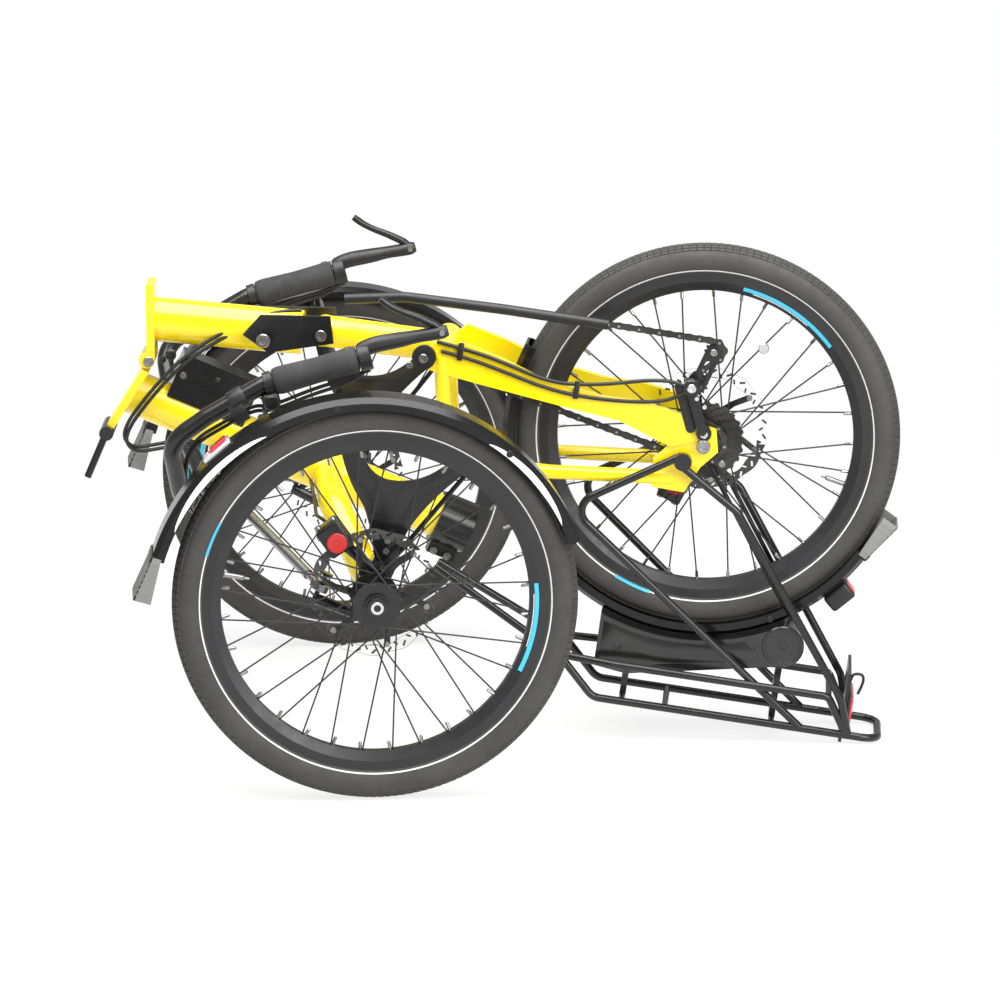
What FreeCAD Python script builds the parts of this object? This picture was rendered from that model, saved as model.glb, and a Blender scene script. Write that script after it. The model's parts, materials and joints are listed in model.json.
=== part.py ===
import FreeCAD, Part
import Sketcher
import math
import os
from FreeCAD import Placement, Rotation, Vector

# Folded recumbent trike with two front wheels and one rear wheel.
# X points forward, Y to the trike's left, Z up, and the floor is Z = 0.
# The rear section is built as it rides, about its own axle, and then turned about the fold hinge
# over the front frame. Lengths are millimetres and angles are degrees.

drivingSizes = [
    # Layout
    ("AxleSetback", 164.3),
    ("HalfTrack", 375.0),
    ("Wheelbase", 1062.0),
    ("FoldedPitch", 40.2),
    ("HingeYaw", 4.32),
    ("HingeRoll", 1.29),
    ("PinBack", 265.0),
    ("PinHeight", 476.0),
    # Wheels
    ("RimRadius", 209.0),
    ("TyreHalfWidth", 20.0),
    ("TyreHeightShare", 1.8),
    ("RimDepth", 23.0),
    ("RimHalfWidth", 12.0),
    ("RimBedHalfWidth", 6.0),
    ("SpokeRadius", 1.0),
    ("SpokePairs", 16.0),
    ("SpokeCross", 3.0),
    ("HubBarrelRadius", 15.0),
    ("HubFlangeRadius", 29.0),
    ("HubFlangeThickness", 3.5),
    ("HubFlangeOffset", 26.0),
    ("HubInner", 42.0),
    ("HubOuter", 34.0),
    ("HubCapRadius", 12.0),
    ("HubCapLength", 6.0),
    ("RotorRadius", 80.0),
    ("RotorBandWidth", 15.0),
    ("RotorThickness", 2.0),
    ("RotorCarrierRadius", 24.0),
    ("RotorArmWidth", 10.0),
    ("RotorArms", 6.0),
    ("AxleRadius", 7.0),
    ("RunningGap", 0.05),
    ("EndGap", 1.0),
    # Front frame
    ("TubeRadius", 28.0),
    ("TubeWall", 3.0),
    ("SocketDepth", 160.0),
    ("SocketStep", 0.5),
    ("MouthAhead", 142.0),
    ("MouthHeight", 245.0),
    ("FlangeThickness", 10.0),
    ("FlangeHalfWidth", 33.0),
    ("FlangeTop", 12.0),
    ("FlangeLength", 96.0),
    ("FlangeCentre", 48.0),
    ("FlangeGap", 0.3),
    ("LugRadius", 10.0),
    ("PinRadius", 5.0),
    ("LatchRadius", 9.0),
    ("LatchLeverLength", 70.0),
    ("CasterAngle", 14.0),
    ("KingpinLean", 8.0),
    ("KingpinInset", 90.0),
    ("KingpinRadius", 8.0),
    ("HeadRadius", 15.0),
    ("HeadHalfLength", 34.0),
    ("CrossRadius", 19.0),
    ("CrossBack", 40.0),
    ("CrossRise", 76.0),
    ("CrossKnee", 175.0),
    ("SeatBracketLength", 104.0),
    ("SeatBracketHalfWidth", 26.0),
    ("SeatBracketRise", 46.0),
    ("SeatBracketBack", 88.0),
    ("SeatBoltRadius", 4.0),
    ("ClampLength", 46.0),
    ("ClampThickness", 5.0),
    ("ClampEar", 16.0),
    ("ClampEarThickness", 9.0),
    ("ClampSlit", 4.0),
    ("ClampBoltRadius", 3.0),
    # Steering
    ("KnuckleArmRadius", 7.0),
    ("KnucklePlateThickness", 9.0),
    ("KnucklePlateReach", 22.0),
    ("KnuckleHalfWidth", 15.0),
    ("SteeringArmLength", 58.0),
    ("SteeringArmSide", 22.0),
    ("TieRodRadius", 6.5),
    ("TieStudRadius", 3.0),
    ("TieEyeRadius", 11.0),
    ("TieEyeGap", 4.0),
    ("TieEyeHalfHeight", 4.5),
    ("TieDrop", 16.0),
    ("BarArmRise", 12.0),
    ("BarPivotBack", 137.0),
    ("BarPivotDrop", 60.7),
    ("BarPivotRadius", 9.0),
    ("BarPivotHub", 19.0),
    ("BarPivotHalfLength", 18.0),
    ("BarRadius", 11.0),
    ("GripRadius", 17.0),
    ("BarHalfWidth", 300.0),
    ("BarBend", 36.0),
    ("LeverRadius", 4.5),
    ("LeverBodyRadius", 10.0),
    # Front corners
    ("CaliperAngle", 124.0),
    ("CaliperRadius", 74.0),
    ("CaliperHalfWidth", 17.0),
    ("CaliperHalfHeight", 20.0),
    ("CaliperInner", 7.0),
    ("CaliperWall", 11.0),
    ("GuardGap", 26.0),
    ("GuardCentreBack", 9.0),
    ("GuardCentreDrop", 17.0),
    ("GuardHalfWidth", 30.0),
    ("GuardThickness", 3.0),
    ("GuardLip", 15.0),
    ("GuardStart", 20.0),
    ("GuardSweep", 143.0),
    ("FlapReach", 62.0),
    ("FlapFlare", 22.0),
    ("StayRadius", 3.0),
    # Rear section, about the rear axle as it rides
    ("FlangeReach", 355.0),
    ("RearTubeEndShare", 0.7355),
    ("RearTubeEndDrop", 54.5),
    ("PivotShare", 0.79773),
    ("PivotDrop", 47.0),
    ("PivotPlate", 5.0),
    ("ArmTubeRadius", 20.0),
    ("ArmFork", 340.0),
    ("ArmForkDrop", 63.0),
    ("StayOffset", 60.0),
    ("StayThickness", 13.0),
    ("SeatStayRadius", 9.0),
    ("DropoutThickness", 8.0),
    ("IdlerAhead", 360.0),
    ("IdlerDrop", 61.0),
    ("IdlerRadius", 15.0),
    ("ChainOffset", 49.0),
    ("ChainRadius", 4.5),
    ("ChainHalfWidth", 3.5),
    ("ChainTubeRadius", 6.5),
    ("CassetteLargeRadius", 50.0),
    ("CassetteSmallRadius", 22.0),
    ("CassetteCogs", 8.0),
    ("CassettePitch", 2.3),
    ("CassetteStart", 31.0),
    ("RackRodRadius", 5.0),
    ("RackHalfWidth", 50.0),
    ("RackRailHalfWidth", 62.0),
    ("RackTail", 272.0),
    ("RackFront", 92.0),
    ("RackDeckRise", 89.14),
    ("RackRailDrop", 49.2),
    ("RackBend", 22.0),
    ("BatteryHalfWidth", 40.0),
    ("BatteryEndRadius", 27.0),
    ("RearGuardGap", 9.0),
    ("RearGuardHalfWidth", 29.0),
    ("RearGuardStart", -20.0),
    ("RearGuardSweep", 172.0),
    ("LightLength", 36.0),
    ("LightDepth", 24.0),
    ("LightHalfWidth", 20.0),
    ("CableRadius", 2.5),
]

doc = FreeCAD.newDocument("RecumbentTrike")
sheet = doc.addObject("Spreadsheet::Sheet", "Sizes")
for row, (name, value) in enumerate(drivingSizes, start=1):
    sheet.set("A%d" % row, name)
    sheet.set("B%d" % row, str(value))
    sheet.setAlias("B%d" % row, name)
doc.recompute()


class Size:
    # One sheet value, or a sum of them, kept as a number and as the expression that gives it.
    def __init__(self, number, text):
        self.number = float(number)
        self.text = text

    def join(self, other, sign, result, flip=False):
        text = other.text if isinstance(other, Size) else repr(other)
        pair = (text, self.text) if flip else (self.text, text)
        return Size(result, "(%s %s %s)" % (pair[0], sign, pair[1]))

    def __add__(self, other):
        return self.join(other, "+", self.number + float(other))

    def __radd__(self, other):
        return self.join(other, "+", self.number + float(other), flip=True)

    def __sub__(self, other):
        return self.join(other, "-", self.number - float(other))

    def __rsub__(self, other):
        return self.join(other, "-", float(other) - self.number, flip=True)

    def __mul__(self, other):
        return self.join(other, "*", self.number * float(other))

    def __rmul__(self, other):
        return self.join(other, "*", self.number * float(other), flip=True)

    def __truediv__(self, other):
        return self.join(other, "/", self.number / float(other))

    def __neg__(self):
        return Size(-self.number, "(0 - %s)" % self.text)

    def __float__(self):
        return self.number


class Sizes:
    pass


s = Sizes()
n = Sizes()
for name, value in drivingSizes:
    setattr(s, name, Size(sheet.get(name), "Sizes." + name))
    setattr(n, name, float(sheet.get(name)))

# Directions
forward = Vector(1, 0, 0)
leftward = Vector(0, 1, 0)
upward = Vector(0, 0, 1)
RIGHT, LEFT = -1, 1
half = 0.5
fullTurn = 360.0
straight = 180.0


def turned(direction, axis, angle):
    return Rotation(axis, angle).multVec(direction)


def placed(origin, xdir, ydir, zdir):
    return Placement(origin, Rotation(xdir, ydir, zdir, "XYZ"))


# Layout of the folded trike, with the front axle line over X = 0 until the last shift

tyreRadius = s.RimRadius + s.TyreHalfWidth * s.TyreHeightShare
guardRadius = tyreRadius + s.GuardGap
rearGuardRadius = tyreRadius + s.RearGuardGap
axleHeight = float(tyreRadius)
frontAxle = Vector(0, 0, axleHeight)
hingePin = Vector(-n.PinBack, 0, n.PinHeight)
hingeAxis = turned(turned(Vector(0, -1, 0), upward, -n.HingeYaw), forward, -n.HingeRoll)
pitchTurn = Rotation(leftward, n.FoldedPitch)
ridePlace = Placement(frontAxle, pitchTurn) * Placement(Vector(-n.Wheelbase, 0, 0), Rotation())
deckRise = rearGuardRadius + s.GuardThickness + s.RackDeckRise
deck = float(deckRise)


def foldedAngle():
    # The rear section folds until the tail hoop of its rack lies on the floor.
    tail = ridePlace.multVec(Vector(-n.RackTail, n.RackHalfWidth, deck)) - hingePin
    along = hingeAxis * hingeAxis.dot(tail)
    level = tail - along
    side = hingeAxis.cross(level)
    drop = n.RackRodRadius - n.PinHeight - along.z
    reach = math.hypot(level.z, side.z)
    return math.degrees(math.acos(drop / reach) - math.atan2(side.z, level.z))


foldAngle = foldedAngle()
foldTurn = (Placement(hingePin, Rotation()) * Placement(Vector(), Rotation(hingeAxis, -foldAngle))
            * Placement(-hingePin, Rotation()))
rearPlace = foldTurn * ridePlace
shift = Placement(Vector(-n.AxleSetback, 0, 0), Rotation())

steerAxis = turned(upward, leftward, n.FoldedPitch - n.CasterAngle)
steerAhead = turned(forward, leftward, n.FoldedPitch - n.CasterAngle)

# Face of the fold, from the pin down along the flange of the front tube
faceDown = turned(Vector(0, 0, -1), leftward, fullTurn - foldAngle + straight)
faceSide = -hingeAxis
faceDown = (faceDown - faceSide * faceDown.dot(faceSide)).normalize()
faceNormal = faceSide.cross(-faceDown).normalize()
facePlace = placed(hingePin, faceNormal, faceSide, -faceDown)

made = []


def bind(thing, prop, value):
    if isinstance(value, Size):
        thing.setExpression(prop, value.text)
    else:
        setattr(thing, prop, value)


def keep(thing, label, place=None):
    thing.Label = label
    if place is not None:
        thing.Placement = shift * place * thing.Placement
    else:
        thing.Placement = shift * thing.Placement
    made.append(thing)
    return thing


def cylinder(name, radius, start, end):
    thing = doc.addObject("Part::Cylinder", name)
    bind(thing, "Radius", radius)
    thing.Height = (end - start).Length
    thing.Placement = Placement(start, Rotation(upward, end - start))
    return thing


def box(name, length, width, height, place):
    # A box centred on the frame of its placement.
    thing = doc.addObject("Part::Box", name)
    bind(thing, "Length", length)
    bind(thing, "Width", width)
    bind(thing, "Height", height)
    corner = Vector(-float(length) * half, -float(width) * half, -float(height) * half)
    thing.Placement = place * Placement(corner, Rotation())
    return thing


def solidOf(name, shape):
    thing = doc.addObject("Part::Feature", name)
    thing.Shape = shape
    return thing


def fused(name, things):
    thing = doc.addObject("Part::MultiFuse", name)
    thing.Shapes = things
    thing.Refine = False
    return thing


def cut(name, base, tool):
    thing = doc.addObject("Part::Cut", name)
    thing.Base = base
    thing.Tool = tool
    thing.Refine = True
    return thing


def outline(body, name, role, corners):
    # A closed outline of straight edges on one of the body's own planes, each corner bound.
    plane = [item for item in body.Origin.OriginFeatures if item.Role == role][0]
    sketch = body.newObject("Sketcher::SketchObject", name)
    sketch.AttachmentSupport = (plane, [""])
    sketch.MapMode = "FlatFace"
    spots = [Vector(float(across), float(along), 0) for across, along in corners]
    count = len(corners)
    for index in range(count):
        sketch.addGeometry(Part.LineSegment(spots[index], spots[(index + 1) % count]), False)
    for index in range(count):
        sketch.addConstraint(Sketcher.Constraint("Coincident", index, 2, (index + 1) % count, 1))
    for index, corner in enumerate(corners):
        for kind, axis, value in (("DistanceX", -2, corner[0]), ("DistanceY", -1, corner[1])):
            if not isinstance(value, Size):
                sketch.addConstraint(Sketcher.Constraint("PointOnObject", index, 1, axis))
                continue
            rule = Sketcher.Constraint(kind, -1, 1, index, 1, float(value))
            number = sketch.addConstraint(rule)
            sketch.setExpression("Constraints[%d]" % number, value.text)
    return sketch


def turnedBody(name, corners, sweep=fullTurn):
    # A body of revolution about its own Y axis, from corners given as radius and place along it.
    body = doc.addObject("PartDesign::Body", name)
    sketch = outline(body, name + "Outline", "XY_Plane", corners)
    turn = body.newObject("PartDesign::Revolution", name + "Turn")
    turn.Profile = sketch
    turn.ReferenceAxis = (sketch, ["V_Axis"])
    bind(turn, "Angle", sweep)
    return body


def plateBody(name, corners, thickness):
    # A flat plate with its outline in XZ and its thickness shared about Y = 0.
    body = doc.addObject("PartDesign::Body", name)
    sketch = outline(body, name + "Outline", "XZ_Plane", corners)
    pad = body.newObject("PartDesign::Pad", name + "Pad")
    pad.Profile = sketch
    pad.SideType = "Symmetric"
    bind(pad, "Length", thickness)
    return body


def tubeShape(points, radius, bend):
    # A round bar along straight runs joined by tangent arcs of one radius.
    parts = []
    last = points[0]
    for index in range(1, len(points)):
        here = points[index]
        run = (here - points[index - 1]).normalize()
        face = Part.Face(Part.Wire(Part.makeCircle(radius, last, run)))
        if index == len(points) - 1:
            parts.append(face.extrude(here - last))
            break
        after = (points[index + 1] - here).normalize()
        turn = run.getAngle(after)
        room = bend * math.tan(turn * half)
        arcStart = here - run * room
        parts.append(face.extrude(arcStart - last))
        axis = run.cross(after).normalize()
        centre = arcStart + axis.cross(run) * bend
        face = Part.Face(Part.Wire(Part.makeCircle(radius, arcStart, run)))
        parts.append(face.revolve(centre, axis, math.degrees(turn)))
        last = here + after * room
    return parts[0].multiFuse(parts[1:]).removeSplitter()


# Wheels: built about their own axle on Y, outboard side at +Y

def tyre(label, place):
    ring = doc.addObject("Part::Torus", label + "_ring")
    bind(ring, "Radius1", tyreRadius - s.TyreHalfWidth)
    bind(ring, "Radius2", s.TyreHalfWidth)
    ring.Placement = Placement(Vector(), Rotation(forward, -straight * half))
    reach = Vector(0, n.TyreHalfWidth, 0)
    bed = cylinder(label + "_bed", s.RimRadius, -reach, reach)
    keep(cut(label, ring, bed), label, place)


def rim(label, place):
    ring = turnedBody(label + "_ring", [
        (s.RimRadius - s.RimDepth, -s.RimBedHalfWidth),
        (s.RimRadius - s.RimDepth, s.RimBedHalfWidth),
        (s.RimRadius - s.RimDepth / 2, s.RimHalfWidth),
        (s.RimRadius, s.RimHalfWidth),
        (s.RimRadius, -s.RimHalfWidth),
        (s.RimRadius - s.RimDepth / 2, -s.RimHalfWidth)])
    spokes = []
    inner = n.HubFlangeRadius - n.HubFlangeThickness
    outer = n.RimRadius - n.RimDepth * half
    holes = int(n.SpokePairs)
    step = fullTurn / holes
    for index in range(holes):
        lead = -1 if index % 2 else 1
        for side in (RIGHT, LEFT):
            start = step * index + step * half * half * side
            footSide = side * (n.HubFlangeOffset + lead * n.HubFlangeThickness * half)
            headSide = side * lead * n.SpokeRadius * 1.3
            foot = turned(Vector(inner, footSide, 0), leftward, start)
            head = turned(Vector(outer, headSide, 0), leftward, start + lead * n.SpokeCross * step)
            spokes.append(Part.makeCylinder(n.SpokeRadius, (head - foot).Length, foot, head - foot))
    spokeSet = solidOf(label + "_spokes", Part.makeCompound(spokes))
    keep(fused(label, [ring, spokeSet]), label, place)


def hub(label, place, through):
    bore = s.AxleRadius + s.RunningGap
    inner = s.HubFlangeOffset - s.HubFlangeThickness / 2
    outer = s.HubFlangeOffset + s.HubFlangeThickness / 2
    corners = [
        (bore, -s.HubInner), (s.RotorCarrierRadius, -s.HubInner),
        (s.RotorCarrierRadius, -s.HubInner + s.HubFlangeThickness),
        (s.HubBarrelRadius, -s.HubInner + s.HubFlangeThickness * 2),
        (s.HubBarrelRadius, -outer), (s.HubFlangeRadius, -outer),
        (s.HubFlangeRadius, -inner), (s.HubBarrelRadius, -inner),
        (s.HubBarrelRadius, inner), (s.HubFlangeRadius, inner),
        (s.HubFlangeRadius, outer), (s.HubBarrelRadius, outer)]
    if through:
        corners += [(s.HubBarrelRadius, s.HubInner + s.HubFlangeThickness * 2.7),
                    (bore, s.HubInner + s.HubFlangeThickness * 2.7)]
    else:
        corners += [
            (s.HubBarrelRadius, s.HubOuter), (s.HubCapRadius, s.HubOuter),
            (s.HubCapRadius, s.HubOuter + s.HubCapLength), (0, s.HubOuter + s.HubCapLength),
            (0, s.HubFlangeOffset), (bore, s.HubFlangeOffset)]
    keep(turnedBody(label, corners), label, place)


def rotor(label, place):
    face = -n.HubInner - n.RotorThickness
    centre = Vector(0, face, 0)
    disc = Part.makeCylinder(n.RotorRadius, n.RotorThickness, centre, leftward)
    window = Part.makeCylinder(n.RotorRadius - n.RotorBandWidth, n.RotorThickness, centre, leftward)
    bore = Part.makeCylinder(n.AxleRadius + n.KnuckleArmRadius, n.RotorThickness, centre, leftward)
    carrier = Part.makeCylinder(n.RotorCarrierRadius, n.RotorThickness, centre, leftward).cut(bore)
    shape = disc.cut(window).fuse(carrier)
    start = n.RotorCarrierRadius - n.RotorArmWidth * half * half
    reach = n.RotorRadius - n.RotorBandWidth + n.RotorArmWidth * half * half
    for index in range(int(n.RotorArms)):
        arm = Part.makeBox(reach - start, n.RotorThickness, n.RotorArmWidth,
                           Vector(start, face, -n.RotorArmWidth * half))
        arm.rotate(Vector(), leftward, fullTurn / n.RotorArms * index)
        shape = shape.fuse(arm)
    keep(solidOf(label, shape.removeSplitter()), label, place)


def cassette(label, place):
    corners = [(s.HubBarrelRadius + s.RunningGap, -s.CassetteStart)]
    cogs = int(n.CassetteCogs)
    span = s.CassetteLargeRadius - s.CassetteSmallRadius
    for index in range(cogs):
        radius = s.CassetteLargeRadius - span * index / (cogs - 1)
        near = -s.CassetteStart - s.CassettePitch * index
        corners += [(radius, near), (radius, near - s.CassettePitch)]
    corners.append((s.HubBarrelRadius + s.RunningGap, -s.CassetteStart - s.CassettePitch * cogs))
    keep(turnedBody(label, corners), label, place)


# Front frame

mouth = Vector(n.MouthAhead, 0, n.MouthHeight)
tubeFoot = facePlace.multVec(Vector(n.FlangeGap + n.FlangeThickness, 0, -n.FlangeCentre))
mainRun = (mouth - tubeFoot).normalize()
mainRise = leftward.cross(mainRun) * -1
tubeSlope = math.degrees(math.atan2(mainRun.z, mainRun.x))


def onMain(along, rise=0.0, side=0.0):
    return mouth - mainRun * along + mainRise * rise + leftward * side


def mainTube(label):
    overlap = mainRun * n.TubeRadius
    outer = cylinder(label + "_outer", s.TubeRadius, tubeFoot - overlap, mouth)
    socket = cylinder(label + "_socket", s.TubeRadius - s.TubeWall, onMain(n.SocketDepth), mouth + overlap)
    inner = cylinder(label + "_bore", s.TubeRadius - s.TubeWall - s.SocketStep, tubeFoot - overlap * 2,
                     onMain(n.SocketDepth * half))
    hollow = cut(label + "_hollow", outer, fused(label + "_room", [socket, inner]))
    side = (n.FlangeLength + n.TubeRadius) * 2
    back = box(label + "_back", side, side, side,
               facePlace * Placement(Vector(n.FlangeThickness + n.FlangeGap - side * half, 0,
                                            -n.FlangeCentre), Rotation()))
    slit = box(label + "_slit", s.ClampLength * 2, s.ClampSlit, s.TubeRadius * 2,
               placed(mouth - mainRise * n.TubeRadius, mainRun, leftward, mainRise))
    keep(cut(label, hollow, fused(label + "_waste", [back, slit])), label)


def flangeParts(name, sign):
    # One fold flange in the frame of the face, on the side that sign gives, with no lugs.
    plate = box(name + "_plate", s.FlangeThickness, s.FlangeHalfWidth * 2, s.FlangeLength - s.FlangeTop,
                Placement(Vector(sign * (n.FlangeGap + n.FlangeThickness * half), 0,
                                 -(n.FlangeTop + n.FlangeLength) * half), Rotation()))
    return plate


def lug(name, sign, low, high):
    # One hinge eye round the pin with the web that ties it to its flange.
    eye = cylinder(name + "_eye", s.LugRadius, Vector(0, low, 0), Vector(0, high, 0))
    web = box(name + "_web", s.LugRadius, high - low, s.FlangeTop + s.FlangeThickness,
              Placement(Vector(sign * (n.FlangeGap + n.LugRadius * half), (low + high) * half,
                               -(n.FlangeTop + n.FlangeThickness) * half), Rotation()))
    return [eye, web]


def frontFlange(label):
    third = n.FlangeHalfWidth / 3
    parts = [flangeParts(label, 1)] + lug(label + "_lug", 1, -third, third)
    pin = cylinder(label + "_pin", s.PinRadius, Vector(0, -n.FlangeHalfWidth, 0),
                   Vector(0, n.FlangeHalfWidth, 0))
    keep(fused(label, parts + [pin]), label, facePlace)


def rearFlange(label):
    third = n.FlangeHalfWidth / 3 + n.EndGap
    wide = n.FlangeHalfWidth - n.EndGap
    parts = [flangeParts(label, -1)]
    parts += lug(label + "_right", -1, -wide, -third)
    parts += lug(label + "_left", -1, third, wide)
    bore = cylinder(label + "_bore", s.PinRadius + s.RunningGap, Vector(0, -n.FlangeHalfWidth * 2, 0),
                    Vector(0, n.FlangeHalfWidth * 2, 0))
    joined = fused(label + "_joined", parts)
    keep(cut(label, joined, bore), label, foldTurn * facePlace)


def foldLatch(label):
    depth = n.FlangeGap + n.FlangeThickness * half
    low = -n.FlangeLength
    spindleEnd = n.FlangeHalfWidth + n.LatchRadius
    body = cylinder(label + "_body", s.LatchRadius, Vector(depth, -spindleEnd, low - n.LatchRadius),
                    Vector(depth, n.FlangeHalfWidth, low - n.LatchRadius))
    lever = cylinder(label + "_lever", s.LatchRadius / 2,
                     Vector(depth, -spindleEnd + n.LatchRadius * 0.8, low - n.LatchRadius * 1.3),
                     Vector(depth + n.LatchRadius, -spindleEnd + n.LatchRadius * 0.8,
                            low - n.LatchLeverLength))
    keep(fused(label, [body, lever]), label, facePlace)


def kingpinFrame(side):
    # Kingpin at the height of the axle, its axis leaning in at the top.
    centre = Vector(0, side * (n.HalfTrack - n.KingpinInset), axleHeight)
    axis = turned(steerAxis, steerAhead, side * n.KingpinLean)
    outward = turned(leftward * side, steerAhead, side * n.KingpinLean)
    return centre, axis, outward


def crossMember(label):
    parts = []
    root = Vector(-n.CrossBack, 0, axleHeight + n.CrossRise)
    for side in (RIGHT, LEFT):
        name = label + ("_right" if side == RIGHT else "_left")
        centre, axis, outward = kingpinFrame(side)
        tip = centre - outward * n.HeadRadius * half
        knee = Vector(-n.CrossBack, side * n.CrossKnee, axleHeight + n.CrossRise)
        parts.append(solidOf(name + "_arm", tubeShape([root, knee, tip], n.CrossRadius, n.CrossRadius * 3)))
        parts.append(cylinder(name + "_head", s.HeadRadius, centre - axis * n.HeadHalfLength,
                              centre + axis * n.HeadHalfLength))
    joined = fused(label + "_joined", parts)
    tools = [cylinder(label + "_tube", s.TubeRadius, tubeFoot, mouth)]
    for side in (RIGHT, LEFT):
        name = label + ("_rightBore" if side == RIGHT else "_leftBore")
        centre, axis, outward = kingpinFrame(side)
        tools.append(cylinder(name, s.KingpinRadius + s.RunningGap, centre - axis * n.HeadHalfLength * 2,
                              centre + axis * n.HeadHalfLength * 2))
        for end in (-1, 1):
            level = centre + axis * end * (n.HeadHalfLength + n.TubeRadius)
            tools.append(box(name + ("_low" if end < 0 else "_high"), s.TubeRadius * 3, s.TubeRadius * 3,
                             s.TubeRadius * 2, placed(level, steerAhead, axis.cross(steerAhead), axis)))
    keep(cut(label, joined, fused(label + "_waste", tools)), label)


def seatBracket(label):
    along = (mouth - tubeFoot).Length - n.SeatBracketBack
    rise = n.TubeRadius + n.SeatBracketRise * half
    place = placed(onMain(along, rise - n.TubeWall * 2), mainRun, leftward, mainRise)
    block = box(label + "_block", s.SeatBracketLength, s.SeatBracketHalfWidth * 2,
                s.SeatBracketRise + s.TubeWall * 4, place)
    tube = cylinder(label + "_tube", s.TubeRadius, tubeFoot, mouth)
    bolt = cylinder(label + "_bolt", s.SeatBoltRadius,
                    onMain(along, rise + n.SeatBoltRadius * 2, -n.SeatBracketHalfWidth * 2),
                    onMain(along, rise + n.SeatBoltRadius * 2, n.SeatBracketHalfWidth * 2))
    keep(cut(label, block, fused(label + "_waste", [tube, bolt])), label)


def boomClamp(label):
    start = onMain(n.ClampLength)
    ring = cylinder(label + "_ring", s.TubeRadius + s.ClampThickness, start, mouth)
    hole = cylinder(label + "_hole", s.TubeRadius, start - mainRun * n.ClampLength,
                    mouth + mainRun * n.ClampLength)
    ears = box(label + "_ears", s.ClampLength * 0.8, s.ClampSlit + s.ClampEarThickness * 2,
               s.ClampEar + s.ClampThickness,
               placed(onMain(n.ClampLength * half, -n.TubeRadius - n.ClampEar * half),
                      mainRun, leftward, mainRise))
    slit = box(label + "_slit", s.ClampLength * 2, s.ClampSlit, s.TubeRadius * 2,
               placed(onMain(n.ClampLength * half, -n.TubeRadius * 1.5), mainRun, leftward, mainRise))
    bodyOnly = cut(label + "_open", fused(label + "_joined", [ring, ears]),
                   fused(label + "_waste", [hole, slit]))
    level = -n.TubeRadius - n.ClampThickness - n.ClampEar * half
    wide = n.ClampEarThickness + n.ClampSlit
    bolts = []
    for index, along in enumerate((n.ClampLength * 0.3, n.ClampLength * 0.7)):
        bolts.append(cylinder(label + "_bolt%d" % index, s.ClampBoltRadius, onMain(along, level, -wide),
                              onMain(along, level, wide)))
    keep(fused(label, [bodyOnly] + bolts), label)


barPivot = onMain((n.MouthAhead + n.BarPivotBack) / mainRun.x) - upward * n.BarPivotDrop
barPivot.y = 0


def steeringPivot(label):
    foot = barPivot - steerAxis * (n.BarPivotHalfLength + n.EndGap)
    top = barPivot + steerAxis * (n.BarPivotHalfLength + n.EndGap)
    upper = barPivot + steerAxis * (n.BarPivotHalfLength * 4)
    post = cylinder(label + "_post", s.BarPivotHub, top, upper)
    pin = cylinder(label + "_pin", s.BarPivotRadius, foot, upper)
    head = cylinder(label + "_head", s.BarPivotHub * 0.8, foot - steerAxis * n.EndGap * 4, foot)
    waste = cylinder(label + "_tube", s.TubeRadius, tubeFoot - mainRun * n.TubeRadius * 2, mouth)
    side = n.FlangeLength * 2
    back = box(label + "_back", side, side, side,
               facePlace * Placement(Vector(n.FlangeThickness + n.FlangeGap - side * half, 0, 0), Rotation()))
    tubeUp = box(label + "_above", side, side, side,
                 placed(tubeFoot + mainRise * side * half, mainRun, leftward, mainRise))
    joined = fused(label + "_joined", [post, pin, head])
    keep(cut(label, joined, fused(label + "_waste", [waste, back, tubeUp])), label)


# Steering pieces

class TieEnd:
    # Where a tie rod meets a steering arm: the stud's root, its free end and the middle of the eye.
    # The stud points up the steering axis from a knuckle's arm and down it from the bar's.
    def __init__(self, centre, side, level, way):
        self.way = steerAxis * way
        self.top = (centre - steerAhead * n.SteeringArmLength + leftward * side * n.SteeringArmSide
                    + steerAxis * level)
        self.foot = self.top + self.way * n.TieDrop * 2
        self.middle = self.top + self.way * n.TieDrop


armLevel = n.HeadHalfLength + n.EndGap + n.KnuckleArmRadius


def outerEnd(side):
    return TieEnd(kingpinFrame(side)[0], side, -armLevel, 1)


def innerEnd(side):
    return TieEnd(barPivot, side, n.BarArmRise, -1)


def armWithStud(name, start, end):
    arm = cylinder(name + "_arm", s.KnuckleArmRadius, start, end.top)
    stud = cylinder(name + "_stud", s.TieStudRadius, end.top, end.foot)
    button = cylinder(name + "_button", s.TieEyeRadius * 0.8, end.foot,
                      end.foot + end.way * n.TieStudRadius)
    return [arm, stud, button]


def knucklePlate(name, side, place):
    # The upright plate of a knuckle, in the frame of a placement.
    centre, axis, outward = kingpinFrame(side)
    spot = centre + outward * (n.KnucklePlateReach + n.KnucklePlateThickness * half)
    return box(name, s.KnucklePlateThickness, s.KnuckleHalfWidth * 2,
               (s.HeadHalfLength + s.EndGap + s.KnuckleArmRadius) * 2,
               place.inverse() * placed(spot, outward, axis.cross(outward), axis))


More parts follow.
